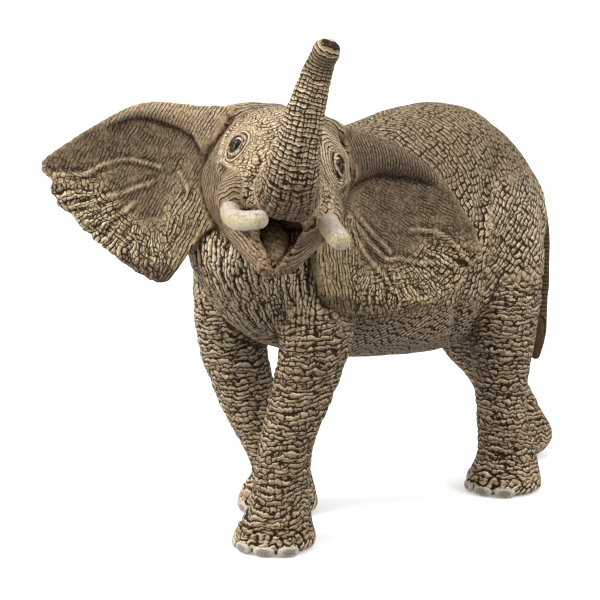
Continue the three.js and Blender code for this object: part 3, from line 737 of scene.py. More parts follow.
def in_mouth(rows, column):
    """One measure of the mouth at each point's depth."""
    return np.interp(-hy, -rows[:, 0], rows[:, column])


jaw_rim = weights["lower_jaw"] * step(-10, -13, hz) * step(-12, -17, hy) * step(-27, -25, hy)
mouth_side = np.abs(hx - in_mouth(MOUTH, 7)) - in_mouth(MOUTH, 5)
out += jaw_rim * step(1.2, 0.2, mouth_side) * 0.9 * (folds(P, 1.9, 19) - 0.45)
out += trunk_w * 0.35 * hump(trunk_along, trunk_length - 2.5, 2.2)

# Toes: arcs of skin over each nail
for foot, count in NAILS.items():
    for i in range(count):
        gap = np.linalg.norm((P - nail_middle(foot, i)) * [1, 1, 1.15], axis=1)
        near = (gap < 12) * weights[f"{foot}_leg"] * step(1.5, 4, z)
        out += near * (0.55 * hump(gap, 5.2, 0.8) + 0.3 * hump(gap, 7.4, 0.8) - 0.4 * hump(gap, 6.3, 0.5))
        out += near * 0.2 * hump(gap, 9.2, 0.8)
P = P + N * out[:, None]

# Nudges that bring the outline nearer to the photograph's
trunk_nudge = (0.9 * hump(trunk_along, 50, 26) - 0.9 * step(60, 80, trunk_along)) * weights["trunk"]
P = P - (HEAD_TURN @ [0.97, -0.14, 0.19]) * trunk_nudge[:, None]
saddle = 1.3 * hump(y, -17, 14) + 0.9 * hump(y, 46, 12) - 0.4 * hump(y, 14, 10)
P[:, 2] -= saddle * weights["torso"] * step(96, 112, z)
P[:, 2] -= 0.9 * body_w * step(68, 58, z) * step(-38, -25, y) * step(44, 34, y) * weights["torso"]
away_leg = weights["front_right_leg"] * step(24, 34, z) * step(72, 58, z)
P -= 0.7 * away_leg[:, None] * VIEW_RIGHT
P -= (1.1 * weights["tail"] * step(62, 74, z))[:, None] * VIEW_RIGHT

# The soles stay flat on the ground
for name in LEGS:
    own = step(0.3, 0.7, weights[name])
    low = P[own > 0.5, 2].min()
    P[:, 2] -= low * own * step(8, 1, P[:, 2])
P[:, 2] = np.maximum(P[:, 2], 0)

# Shade: how closed in each place is, felt with rays from one point in each cell

SHADE_CELL = 3.5
RAY_LENGTH = 45.0


def shade_of(points, normals):
    cell = np.floor(points / SHADE_CELL).astype(np.int64)
    key = (cell[:, 0] * 4001 + cell[:, 1]) * 4001 + cell[:, 2]
    _, some = np.unique(key, return_index=True)
    solids = [(base, base_tri), *(ear.solid(True) for ear in ears.values())]
    trees = [BVHTree.FromPolygons(p.tolist(), f.tolist()) for p, f in solids]
    rays = unit(dice.normal(size=(40, 3)))
    value, known = np.zeros(len(points)), np.zeros(len(points))
    for i in some:
        n = normals[i]
        start = Vector(points[i] + n * 1.6)
        lit = total = 0.0
        for ray in rays:
            facing = ray @ n
            if facing < 0:
                ray, facing = -ray, -facing
            total += facing
            far = min(t.ray_cast(start, Vector(ray), RAY_LENGTH)[3] or RAY_LENGTH for t in trees)
            lit += facing * min(1.0, far / RAY_LENGTH) ** 0.6
        value[i], known[i] = lit / total, 1
    value, known = (net.spread(v, 60, 0.8) for v in (value, known))
    return 1 - value / np.maximum(known, 1e-6)


shade = np.clip(shade_of(P, N), 0, 1)

# Values on the skin that its paint follows. Each attribute holds three of them.
ATTRIBUTES = {
    "first": ("first_u", "first_v", "second_w"),
    "second": ("second_u", "second_v", "shade"),
    "lines": ("line", "cross", "cross_w"),
    "style": ("line_w", "net_w", "olive"),
    "tint": ("beige", "dark", "hollow"),
    # The relief's third value is painted shade: darker on the undersides, low on the body and in the eye
    # pits.
    "relief": ("cavity", "mouth", "under"),
    "more": ("stagger", "wavy", "unused"),
}
on_skin = defaultdict(lambda: np.zeros(len(P)))


def at(mask, value):
    return value[mask] if np.size(value) == len(P) else value


def paint(mask, **values):
    """Sets values on masked points. Each is a number, or a row for every point or each masked one."""
    for key, value in values.items():
        on_skin[key][mask] = at(mask, value)


def add(mask, **values):
    """Adds to values on masked points."""
    for key, value in values.items():
        on_skin[key][mask] += at(mask, value)


N = normals_of(P, quads)
fine_cavity = np.einsum("ij,ij->i", P - net.spread(P, 6), N) / 0.1
wide_cavity = np.einsum("ij,ij->i", P - net.spread(P, 30), N) / 0.35
NB = unit(net.spread(N, 10))
everywhere = np.ones(len(P), bool)
in_head, in_trunk, in_tail = on("head", "lower_jaw"), on("trunk"), on("tail")
paint(everywhere, cavity=np.clip(0.6 * fine_cavity + 0.5 * wide_cavity, -1, 1), shade=shade)

# Two sets of flat coordinates for the faint net between the creases. The first wraps the whole
# body, the second belongs to one region each, and the paint moves from one to the other between
# regions. The cells of the first grow wide and low on the legs, those of the second narrow and
# tall high in front.
SPINE_Z = 93
LEG_Z = 70
roll_angle = np.arctan2(np.abs(x), z - SPINE_Z)
drop = np.where(z > SPINE_Z, 36 * roll_angle, 56.5 + (SPINE_Z - z))
drop = drop + np.where(legs_w > 0.5, 0, 0.9 * np.maximum(0, 30 - np.abs(x)) * step(82, 62, z))
side_of = np.sign(x)
for name in LEGS:
    side_of[on(name)] = 1 if "left" in name else -1
low_w = step(84, 58, z) * np.clip(legs_w * 1.5, 0, 1)
leg_y = np.where(y > 0, 46, -58)
upright = step(70, 88, z) * step(-30, -50, y)
round_y = np.where(y > 40, 40 + 30 * np.arctan2(y - 40, np.maximum(np.abs(x), 1e-6)), y)
hip_w = np.where(y > 0, step(58, 66, z), 0)
hip_turn = math.radians(40)
hip_line = (math.sin(hip_turn) * round_y - math.cos(hip_turn) * z) / 2.1
hip_cross = (math.cos(hip_turn) * round_y + math.sin(hip_turn) * z) / 3.0
hip_share = hip_w * step(15, 34, y) * step(118, 104, z) * step(-1, 5, groove_gap * groove_side)
ahead = step(0.52, 0.72, np.abs(NB[:, 1]) / np.maximum(np.abs(NB[:, 0]) + np.abs(NB[:, 1]), 1e-6))
ahead *= step(0.9, 0.7, np.abs(NB[:, 2]))
paint(
    everywhere,
    first_u=y / 2.5 + (y - leg_y) * (1 / 4.0 - 1 / 2.5) * low_w,
    first_v=side_of * (drop / 2.3) + side_of * (LEG_Z - z) * (1 / 1.85 - 1 / 2.3) * low_w,
    second_u=x / 3.9 + (x - 17 * side_of) * (1 / 1.8 - 1 / 3.9) * upright,
    second_v=z / 1.9 + (z - 72) * (1 / 4.2 - 1 / 1.9) * upright + 40,
    second_w=ahead * step(64, 58, z * (y > 0)),
)
paint(hip_w > 0, second_u=hip_cross, second_v=hip_line, second_w=hip_share)

# Round each leg, from the side that is seen first
leg_turn = np.zeros(len(P))
for name in LEGS:
    own = on(name)
    levels = np.arange(6, 66, 6.0)
    middles = np.array([B[own & (np.abs(z - level) < 4)].mean(0) for level in levels])
    away = B[own, :2] - np.stack([np.interp(z[own], levels, middles[:, k]) for k in range(2)], 1)
    leg_turn[own] = np.arctan2(away @ VIEW_RIGHT[:2], away @ VIEW_NEAR[:2])

# Body lines: they run down the back and turn along the fold of the flank, climb the hip and the
# belly, wrap the legs and drape down the chest. Each region has its share of the skin, lines,
# lines across them, the weights of both and how much they wander.
body = on("torso") | (legs_w > 0.5)
wrinkle_w = low_leg * step(2, 8, z)
chest_share = chest * (1 - wrinkle_w)
hip_share = hip_share * (1 - wrinkle_w)
belly_share = step(74, 66, z) * np.clip(1 - wrinkle_w - chest_share - hip_share, 0, 1)
back_share = np.clip(1 - wrinkle_w - chest_share - hip_share - belly_share, 0, 1)
flow = y - 18 * (1 - np.exp(-drop / 22))
flow = flow + (groove_gap * groove_side - flow) * step(26, 4, groove_gap) * step(108, 92, z)
calm = 1 - 0.45 * step(100, 122, z)
REGIONS = [
    (back_share, flow / 1.9, (0.4 * y + drop) / 2.8, 1.15 * calm, 0.85 * calm, 0.35),
    (hip_share, hip_line, hip_cross, 1.2, 0.6, 0.4),
    (belly_share, (0.75 * y + 0.66 * drop) / 1.8, (0.75 * drop - 0.66 * y) / 3.4, 1.9, 0.9, 0.4),
    (chest_share, across / 1.3, -z / 3.0, 1.05, 0.5, 0.9),
    (wrinkle_w, -(z + 0.12 * np.abs(y)) / 1.75, leg_turn / (2 * math.pi) * 22, 1.1,
     0.5 * step(3.1, 2.8, np.abs(leg_turn)), 1.0),
]
shares = np.array([region[0] for region in REGIONS])
ranked = np.sort(shares, axis=0)
region_of = np.argmax(shares, axis=0)
sure_of = step(0.05, 0.5, ranked[-1] - ranked[-2]) * body_w * body
line, cross, line_w, cross_w, wavy = (
    np.choose(region_of, [np.broadcast_to(region[k], len(P)) for region in REGIONS]) for k in range(1, 6)
)
paint(everywhere, line=line, cross=cross, line_w=line_w * sure_of, cross_w=cross_w * sure_of, stagger=body,
      wavy=np.where(body, wavy, 0.8), net_w=body_w * (0.32 + 0.45 * (1 - sure_of)))
# Painted shade and light: the lower legs are darkened as in shade, the front left leg most, and the chest and
# the front right leg are lightened as if lit. The top of the back is painted darker and the rest of the body
# paler.
add(everywhere, dark=0.75 * body_w * step(96, 120, z) + wrinkle_w * (0.15 + 0.3 * weights["front_left_leg"]),
    beige=0.55 * chest_share + 0.4 * body_w * (1 - wrinkle_w) + 0.6 * wrinkle_w * weights["front_right_leg"])

# Head: the lines ring the eyes, run level on the face and go round the skull behind it
sure_head = step(0.5, 0.95, head_w) * (1 - step(0.1, 0.6, weights["trunk"]))
way = head_P - np.array([0, 6, 1.5])
off_axis = np.arccos(np.clip(-way[:, 1] / np.linalg.norm(way, axis=1), -1, 1))
spoke = way[:, [0, 2]] / np.maximum(np.hypot(way[:, 0], way[:, 2]), 1e-6)[:, None]
flat_x, flat_z = (spoke * (off_axis * 20)[:, None]).T
face = step(0.8, -0.8, behind + 0.8 * noise(P, 3, 13)) * step(-5, -1, hz + 0.15 * np.abs(hx))
face *= step(20, 12, hy)
near_eye = step(0.2, 0.8, np.maximum(step(12, 7, eye_gap["left"]), step(7.5, 4.5, eye_gap["right"])))
cheek = step(12.5, 16.5, np.abs(hx)) * step(6.5, 2.5, hz)
face *= 1 - 0.85 * cheek
jaw = step(-8, -12, hz)
side_lines = (hy + 0.22 * hz + 0.8 * noise(P, 6, 17)) / 1.5
round_eye = np.minimum(eye_gap["left"], eye_gap["right"]) / 1.15 + 1.1 * noise(P, 5, 31)
level_lines = (flat_z + 0.35 * np.abs(flat_x)) / 1.15 + 1.6 * noise(P, 7, 31) + 0.4 * noise(P, 2, 32)
face_lines = step(0.6, 1, face) * (0.6 * np.abs(2 * near_eye - 1))
at_edge = step(0.1, 0.4, np.abs(face - 0.5) + (face < 0.5))
paint(
    in_head, second_u=flat_x / 1.05, second_v=flat_z / 0.85, second_w=sure_head,
    line=np.where(face > 0.5, np.where(near_eye > 0.5, round_eye, level_lines), side_lines),
    line_w=sure_head * (0.95 * (1 - face) * (1 - jaw) + face_lines) * at_edge,
    cross=(0.44 * hy - 0.9 * hz) / 1.2, cross_w=0.7 * sure_head * jaw,
    net_w=sure_head * (0.25 + 0.12 * face),
)
on_face = in_head & (face > 0.6) & (near_eye < 0.5)
paint(on_face, cross=flat_x / 1.5 + 0.8 * noise(P, 3, 33), stagger=0.4,
      cross_w=0.5 * sure_head * step(0.6, 1, face) * (1 - 2 * near_eye))
EYE_RINGS = {"left": (6, 4.2, 1.15), "right": (4.4, 1.4, 1.0)}
for side, (reach, wide, size) in EYE_RINGS.items():
    ring = in_head * hump(eye_gap[side], reach, wide) * step(0.3, 0.8, face) * sure_head
    paint(ring > 0.03, line=eye_gap[side] / size, line_w=np.minimum(1, 1.4 * ring))
add(in_head, beige=0.85 * face * (1 - 0.45 * step(0, 12, hx)),
    dark=0.48 * (1 - face) * (1 - 0.3 * jaw) + 0.25 * cheek)

# The lip and the lids are dark like the trunk
lip_w = np.zeros(len(P))
near = (hy < -8) & (hz < 6) & (hz > -12)
lip_w[near] = step(4.6, 3.4, near_path(head_P[near], smooth_path(LIP[:, :3], 5))[0])
on_skin["beige"] *= 1 - lip_w
add(everywhere, dark=0.6 * lip_w)
for gap in eye_gap.values():
    pit = step(2.75, 2.45, gap)
    on_skin["beige"] *= 1 - in_head * pit
    add(in_head, hollow=pit, dark=1.6 * pit + 0.25 * hump(gap, 4.1, 0.35), beige=0.5 * hump(gap, 3.2, 0.4))

# The mouth, painted inside
mouth_rows = smooth_path(MOUTH, 4)
middle_x, wide_x = in_mouth(mouth_rows, 7), in_mouth(mouth_rows, 5) + 0.9
roof, floor_z = in_mouth(mouth_rows, 1) + 0.4, in_mouth(mouth_rows, 3) - 0.7
deep = (hz < roof) & (hz > floor_z) & (np.abs(hx - middle_x) < wide_x) & (hy > -30)
mouth_centre = np.stack([middle_x, hy, 0.5 * (roof + floor_z)], 1)
facing_in = np.einsum("ij,ij->i", N @ HEAD_TURN, mouth_centre - head_P) > 0
mouth = net.spread((deep & facing_in & (in_head | in_trunk)).astype(float), 3)

# Trunk: rings, with columns across them on its dark side
tip = step(trunk_length - 14, trunk_length - 9, trunk_along)
tip *= step(trunk_length - 1, trunk_length - 4, trunk_along)
holes = [TRUNK[-1, :3] + np.array([1.75 * side, -0.5, 1.5]) for side in SIDES.values()]
hole_gap = np.min([np.linalg.norm(head_P - hole, axis=1) for hole in holes], axis=0)
tip = np.maximum(0.7 * tip, step(2.2, 1.4, hole_gap))
paint(
    in_trunk, second_u=trunk_turn / (2 * math.pi) * 26, second_v=trunk_along / 2.2, second_w=trunk_w,
    line=ring_run, line_w=(0.8 + 0.7 * step(22, 42, trunk_along)) * trunk_w,
    cross=trunk_turn / (2 * math.pi) * trunk_columns + 0.5,
    cross_w=trunk_w * dark_side * step(80, 50, trunk_along) * 0.65, net_w=trunk_w * 0.15,
)
add(in_trunk, dark=0.1 + dark_side * 0.2 + 0.85 * step(62, 80, trunk_along) + 0.9 * tip,
    beige=0.3 * step(75, 55, trunk_along) * step(20, 40, trunk_along))

# Ears: the right one's roll has fainter lines, its fan is lighter and its hatching runs upright.
# Its lighter fan and rim are painted light, and the left one's darker roll is painted shade.
EAR_STYLES = {
    "left": {"roll_w": 1.0, "tilt": (0.35, 0.95), "fan_paint_and_light": 0.35, "rim": 0, "roll_dark_and_shade": 1.0},
    "right": {"roll_w": 0.6, "tilt": (0.9, 0.3), "fan_paint_and_light": 0.75, "rim": 0.5, "roll_dark_and_shade": 0.35},
}
for side, style in EAR_STYLES.items():
    in_ear = on(f"{side}_ear")
    ex, _, ez = ear_P[side][in_ear].T
    share, run, depth, roll, fan, inner = ears[side].masks(ex, ez)
    front = net.spread((N @ ear_frame(side)[0][:, 1] < 0).astype(float), 4)[in_ear]
    sure = step(0.5, 0.9, weights[f"{side}_ear"][in_ear])
    flat = flat_of(ex, ez)
    # Strokes in two directions take turns over the fan, like a weave.
    patch = step(-0.12, 0.12, noise(flat, 5.5, 44) + 0.5 * noise(flat, 2.2, 45))
    warp = 0.9 * noise(flat, 6, 46) + 0.35 * noise(flat, 2.4, 47)
    fan_lines = fan * (1 - roll) * (0.15 + 0.95 * patch)
    line_w = np.where(roll > 0.3, style["roll_w"] * step(0.35, 0.8, roll), fan_lines)
    arcs = (ex + 0.28 * ez + 1.2 * noise(flat, 7, 43)) / 1.35
    tilt_x, tilt_z = style["tilt"]
    hatch = tilt_x * ex + tilt_z * ez + 0.5 * noise(flat, 3.5, 48) + 0.7 * noise(flat, 9, 49)
    rims = (1 - share) * 26 / 1.35 + 0.4 * warp
    strands = 0.55 * step(0.5, 0.25, fan) * step(0.5, 0.25, inner) * (1 - roll)
    strands = strands * step(-0.6, 0.1, noise(flat, 3, 42))
    woven = step(0.5, 0.75, fan) * (1 - patch) * (1 - inner) * 0.8
    vein = np.max([hump(gap, 0, 0.42) for gap in ears[side].vein_gaps(ex, ez)], axis=0)
    vein *= step(-0.7, 0.2, noise(flat, 4, 50))
    # Dark edges: the lowest lobe, the inner arcs and the roll; the left roll's darkness is painted shade.
    edge_dark_and_shade = style["roll_dark_and_shade"] * roll + 0.9 * step(-32.5, -35.5, ez) * (1 - vein) + 0.2 * inner
    paint(
        in_ear, second_u=ex / 1.6, second_v=ez / 2.4, second_w=sure,
        line=np.where(roll > 0.3, (ex + 0.35 * ez) / 1.15, run / 1.75 + warp),
        line_w=line_w * (sure * (0.2 + 0.8 * front)),
        cross=np.where(inner > 0.5, arcs, np.where(fan > 0.5, rims, hatch)),
        cross_w=np.maximum(step(0.5, 0.75, inner), np.maximum(strands, woven)) * sure * front,
        net_w=sure * (0.34 + 0.3 * fan * front),
        hollow=(1 - fan) * (1 - inner) * (1 - roll) * front * (1 - 0.6 * vein),
        olive=np.clip(fan + inner, 0, 1) * front + 0.2 * (1 - front),
        # beige: the fans' pale paint, plus painted light on the right fan and rim
        beige=(0.15 + style["fan_paint_and_light"] * fan) * front + 0.5 * vein * front * (1 - roll)
        + style["rim"] * step(0.72, 0.9, share) * fan * front,
        # dark: the edges, and a painted shadow in a band just under the overhanging roll
        dark=edge_dark_and_shade * front + 0.5 * hump(depth, 1.12, 0.13) * step(44, 30, ex) * front
        + 0.35 * step(0.94, 0.985, share) * fan,
    )

# Tail
tail_dark = step(100, 84, z)
tail_lines = np.where(z > 54, z / 1.5, np.arctan2(y - 75, x + 1) * 2.2)
paint(in_tail, line=tail_lines, line_w=0.8, net_w=0.2, second_w=0, wavy=0.4, dark=tail_dark,
      hollow=0.7 * tail_dark)

# Painted shade: how much darker the undersides, the legs and the eye pits are painted, where shade falls on
# them;
# the lower tail is darkened as well.
paint(everywhere, mouth=mouth,
      under=0.28 * step(0.15, -0.75, NB[:, 2]) * (1 - mouth) + 0.12 * body_w * step(100, 40, z))
add(in_tail, under=0.4 * tail_dark)
for gap in eye_gap.values():
    add(in_head, under=step(2.75, 2.45, gap))
for key in ("second_w", "beige", "dark"):
    on_skin[key] = np.clip(on_skin[key], 0, 1)
skin_values = {name: np.stack([on_skin[key] for key in keys], 1) for name, keys in ATTRIBUTES.items()}

# Pieces


def put(name, points, faces, slot, material, normals=None, values=None):
    ob = mesh_object(name, np.asarray(points) / 1000, faces)
    me = ob.data
    me.polygons.foreach_set("use_smooth", [True] * len(me.polygons))
    for key, value in (values or {}).items():
        layer = me.attributes.new(key, "FLOAT_VECTOR", "POINT")
        layer.data.foreach_set("vector", value.astype(np.float32).ravel())
    if normals is not None:
        me.normals_split_custom_set_from_vertices(normals.tolist())
    me.materials.append(material)
    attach(ob, "root")
    return ob


class Number:
    """A number or vector in a material's nodes, so that sums and products are written as such."""

    def __init__(self, shader, socket):
        self.shader, self.socket = shader, socket

    def __add__(self, other):
        return self.shader.math("ADD", self, other)

    def __sub__(self, other):
        return self.shader.math("SUBTRACT", self, other)

    def __rsub__(self, other):
        return self.shader.math("SUBTRACT", other, self)

    def __mul__(self, other):
        return self.shader.math("MULTIPLY", self, other)


class Shader:
    """A few words for building a material's nodes."""

    def __init__(self, name, **settings):
        self.material = bpy.data.materials.new(name)
        self.material.use_nodes = True
        self.tree = self.material.node_tree
        self.surface = self.tree.nodes["Principled BSDF"]
        for key, value in settings.items():
            self.surface.inputs[key.replace("_", " ")].default_value = value

    def node(self, kind, inputs=(), **settings):
        n = self.tree.nodes.new(kind)
        for key, value in settings.items():
            setattr(n, key, value)
        for key, value in dict(inputs).items():
            if isinstance(value, Number):
                self.tree.links.new(value.socket, n.inputs[key])
            elif value is not None:
                n.inputs[key].default_value = value
        return n

    def number(self, kind, inputs=(), output=0, **settings):
        return Number(self, self.node(kind, inputs, **settings).outputs[output])

    def math(self, kind, a, b=None):
        return self.number("ShaderNodeMath", {0: a, 1: b}, operation=kind)

    def vector(self, kind, a, b=None, scale=None):
        return self.number("ShaderNodeVectorMath", {0: a, 1: b, "Scale": scale}, operation=kind)

    def fit(self, value, low, high, to_low=0.0, to_high=1.0):
        ends = {"From Min": low, "From Max": high, "To Min": to_low, "To Max": to_high}
        return self.number("ShaderNodeMapRange", {"Value": value, **ends}, interpolation_type="SMOOTHSTEP")

    def mix(self, share, a, b, kind="MIX"):
        a, b = (c if isinstance(c, Number) else (*c, 1) for c in (a, b))
        inputs = {"Factor": share, 6: a, 7: b}
        return self.number("ShaderNodeMix", inputs, 2, data_type="RGBA", blend_type=kind)

    def place(self):
        """Where a point is on the object, in mm."""
        where = self.number("ShaderNodeTexCoord", output="Object")
        return self.vector("SCALE", where, scale=1000.0)

    def noise(self, where, size, detail=2.0, rough=0.5):
        """A noise, and the colour that goes with it."""
        inputs = {"Vector": where, "Scale": 1 / size, "Detail": detail, "Roughness": rough}
        outputs = self.node("ShaderNodeTexNoise", inputs).outputs
        return Number(self, outputs["Fac"]), Number(self, outputs["Color"])

    def value(self, name):
        return self.number("ShaderNodeAttribute", output="Vector", attribute_name=name)

    def split(self, vector):
        outputs = self.node("ShaderNodeSeparateXYZ", {0: vector}).outputs
        return [Number(self, socket) for socket in outputs]

    def moved(self, vector, by, amount):
        far = self.vector("SCALE", self.vector("SUBTRACT", by, (0.5, 0.5, 0.5)), scale=amount)
        return self.vector("ADD", vector, far)

    def cells(self, where, scale, wander, kind="2D"):
        inputs = {"Vector": where, "Scale": scale, "Randomness": wander}
        return self.number("ShaderNodeTexVoronoi", inputs, "Distance", feature="DISTANCE_TO_EDGE",
                           voronoi_dimensions=kind)

    def rows(self, phase):
        """Creases at each whole number, from 0 on the rounded rows between them to 1, and the
        edge of each row that the light meets."""
        saw = self.math("FRACT", phase)
        far = self.math("ABSOLUTE", saw - 0.5) * 2.0
        crease = self.math("POWER", far, 2.6) * 0.3 + self.fit(far, 0.62, 0.9) * 0.7
        return crease, self.fit(saw, 0.12, 0.24) * self.fit(saw, 0.46, 0.26)

    def dice(self, number):
        return self.number("ShaderNodeTexWhiteNoise", {"W": number}, "Value", noise_dimensions="1D")

    def finish(self, colour, roughness, height=None):
        self.tree.links.new(colour.socket, self.surface.inputs["Base Color"])
        self.tree.links.new(roughness.socket, self.surface.inputs["Roughness"])
        if height is not None:
            bump = self.node("ShaderNodeBump", {"Strength": 1.0, "Distance": 0.001, "Height": height})
            self.tree.links.new(bump.outputs[0], self.surface.inputs["Normal"])
        return self.material


def skin_material():
    s = Shader("painted skin", Specular_IOR_Level=0.08)
    where = s.place()
    cavity, mouth, under = s.split(s.value("relief"))
    line_w, net_w, olive = s.split(s.value("style"))
    line, cross, cross_w = s.split(s.value("lines"))
    beige, dark, hollow = s.split(s.value("tint"))
    first, second = s.value("first"), s.value("second")
    second_w, shade = s.split(first)[2], s.split(second)[2]
    stagger, wavy, _ = s.split(s.value("more"))
    wide, wide_colour = s.noise(where, 9.0, 3.0)
    mid, mid_colour = s.noise(where, 3.2, 2.0)
    small, small_colour = s.noise(where, 1.2, 2.0)
    grain, _ = s.noise(where, 0.3, 3.0, 0.65)
    bend = mid - 0.5

    def net(flow):
        flow = s.moved(s.moved(flow, mid_colour, 0.9), small_colour, 0.28)
        edge = s.cells(flow, 1.0, 0.9)
        crease, dome = s.fit(edge, 0.02, 0.1), s.fit(edge, 0.05, 0.42)
        fine = s.fit(s.cells(flow, 2.3, 1.0), 0.0, 0.13)
        # A painted highlight beside each crease of the net, laid like a dry brush.
        shoulder_highlight = s.fit(edge, 0.14, 0.21) * s.fit(edge, 0.42, 0.24)
        return 1.0 - (crease * 0.62 + dome * 0.2 + fine * 0.18), shoulder_highlight

    # The faint net
    near, near_highlight = net(first)
    other, other_highlight = net(second)
    share = s.fit(second_w + bend * 0.5, 0.4, 0.6)
    vary = s.fit(s.noise(where, 5.0, 1.0)[0], 0.32, 0.6, 0.55, 1.0)
    net_drop = (near * (1.0 - share) + other * share) * net_w * vary
    # The painted highlights beside the net's creases.
    rim = (near_highlight * (1.0 - share) + other_highlight * share) * net_w * s.fit(small, 0.4, 0.6, 0.3, 1.0)

    # The rows of creases and the creases across them, shifted from row to row
    wander = wavy * (bend * 1.7 + (small - 0.5) * 0.65) + (wide - 0.5) * stagger * 3.2
    main = line + wander
    line_drop, line_highlight = s.rows(main)
    line_on = line_w * s.fit(s.split(wide_colour)[1], 0.36, 0.5, 0.6, 1.0)
    shift = s.dice(s.math("FLOOR", main)) * stagger
    cross_drop, cross_highlight = s.rows(cross + wander * 0.7 + shift)
    cross_on = cross_w * s.fit(s.split(mid_colour)[2], 0.36, 0.54, 0.15, 1.0)
    line_drop, cross_drop = line_drop * line_on, cross_drop * cross_on
    drop = s.math("MAXIMUM", net_drop, s.math("MAXIMUM", line_drop, cross_drop))
    drop = drop * 0.85 + (net_drop + line_drop + cross_drop) * 0.1
    # Painted highlights beside the rows and the creases across them, on the edge that the light meets.
    rim = s.math("MAXIMUM", rim, s.math("MAXIMUM", line_highlight * line_on, cross_highlight * cross_on * 0.7))
    speck = grain - 0.5
    height = s.math("MINIMUM", drop, 1.1) * -0.75 + speck * 0.2

    # The paint: a brown coat, a pale dry brush on what is high, painted highlights on the crease edges that
    # meet the light, and a dark wash in what is low, which also stands in for the shade in the creases.
    level = drop * -1.0 + cavity * 0.3 + speck * 0.8
    base = s.mix(s.fit(wide, 0.35, 0.65), (0.138, 0.088, 0.045), (0.2, 0.135, 0.07))
    coats = [(beige * 0.8, (0.34, 0.25, 0.14)), (olive * 0.6, (0.17, 0.122, 0.058)),
             (hollow * 0.7, (0.1, 0.073, 0.052)), (dark * 0.8, (0.05, 0.03, 0.015)),
             (mouth, (0.34, 0.19, 0.1))]
    for coat, tone in coats:
        base = s.mix(coat, base, tone)
    pale = s.mix(beige, (0.54, 0.395, 0.24), (0.86, 0.67, 0.43))
    pale = s.mix(mouth, s.mix(olive * 0.7, pale, (0.56, 0.41, 0.19)), (0.72, 0.52, 0.35))
    brush = s.fit(level, -0.34, 0.1) * s.fit(small, 0.35, 0.62, 0.28, 0.75)
    colour = s.mix(brush * (1.0 - hollow * 0.5) * (1.0 - dark * 0.75), base, pale)
    # Painted highlight, laid like a dry brush, on the crease edges that meet the light.
    ridge_highlight = rim * s.fit(level, -0.42, -0.1) * (1.0 - hollow) * (1.0 - dark * 0.7)
    highlight_tone = s.mix(beige, (0.9, 0.73, 0.53), (0.97, 0.83, 0.63))
    colour = s.mix(ridge_highlight * 0.85, colour, highlight_tone)
    # The dark wash, nearly black in the creases, which also stands in for their shade.
    colour = s.mix(s.fit(level, -0.13, -0.43) * 0.97, colour, (0.024, 0.012, 0.004))
    # Painted shade: closed-in places are darkened, less so inside the mouth.
    occlusion_shade = s.fit(shade, 0.3, 0.9, 0.0, 0.55) * (1.0 - mouth)
    colour = s.mix(occlusion_shade, colour, (0.24, 0.17, 0.12), "MULTIPLY")
    # Painted shade on the undersides, low on the body and in the eye pits.
    colour = s.mix(under * 0.75, colour, (0.38, 0.3, 0.23), "MULTIPLY")
    return s.finish(colour, s.fit(level, -0.5, 0.5, 0.62, 0.74), height)


TORSO_CUT = 24  # mm behind the middle, where the torso's skin is cut in two pieces

skin = skin_material()
for number, name in enumerate(SKIN):
    faces = quads[(label[quads] == number).sum(axis=1) * 2 + (label[quads[:, 0]] == number) >= 5]
    parts = {f"{name}_skin": faces}
    if name == "torso":
        rear = P[faces, 1].mean(axis=1) > TORSO_CUT
        parts = {"torso_skin_front": faces[~rear], "torso_skin_rear": faces[rear]}
    for part, faces in parts.items():
        used = np.unique(faces)
        index = np.full(len(P), -1)
        index[used] = np.arange(len(used))
        piece = put(part, P[used], index[faces], "ear" if name.endswith("_ear") else "skin", skin,
                    N[used], {k: v[used] for k, v in skin_values.items()})
        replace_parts(piece, name)

# Tusks, eyes, nails and tongue


def ivory_material():
    s = Shader("ivory")
    where = s.place()
    wide, grain = s.noise(where, 4.0, 3.0)[0], s.noise(where, 0.5, 3.0, 0.7)[0]
    crack = s.fit(s.cells(where, 0.75, 1.0, "3D"), 0.0, 0.05)
    middle, tip, root = s.split(s.value("tint"))
    mottle = s.fit(s.noise(where, 1.3, 3.0, 0.7)[0], 0.5, 0.66)
    streak = s.fit(s.noise(where, 0.9, 3.0, 0.7)[0], 0.38, 0.6)
    base = s.mix(middle * s.fit(wide, 0.3, 0.7, 0.5, 1.0), (0.54, 0.455, 0.37), (0.5, 0.41, 0.185))
    coats = [
        ((1.0 - crack) * 0.55, (0.2, 0.15, 0.1)), (s.fit(grain, 0.52, 0.64) * 0.6, (0.22, 0.18, 0.14)),
        (mottle * s.fit(middle, 0.2, 0.9, 0.9, 0.4), (0.23, 0.2, 0.16)),
        (tip * s.fit(grain, 0.5, 0.68) * 0.8, (0.12, 0.085, 0.05)),
        (root * (streak * 0.6 + 0.3), (0.13, 0.095, 0.06)),
    ]
    for coat, tone in coats:
        base = s.mix(coat, base, tone)
    return s.finish(base, s.fit(grain, 0.3, 0.7, 0.38, 0.5), crack * 0.08 + grain * 0.08)


def nail_material():
    s = Shader("toenail")
    grain, _ = s.noise(s.place(), 0.5, 3.0, 0.7)
    rim, _, _ = s.split(s.value("tint"))
    edge = s.fit(rim + (grain - 0.5) * 0.5, 0.45, 0.8)
    colour = s.mix(edge, (0.27, 0.22, 0.17), (0.62, 0.55, 0.455))
    colour = s.mix(s.fit(grain, 0.62, 0.42, 0.0, 0.5), colour, (0.09, 0.065, 0.045))
    return s.finish(colour, s.fit(grain, 0.3, 0.7, 0.42, 0.6), grain * 0.12)


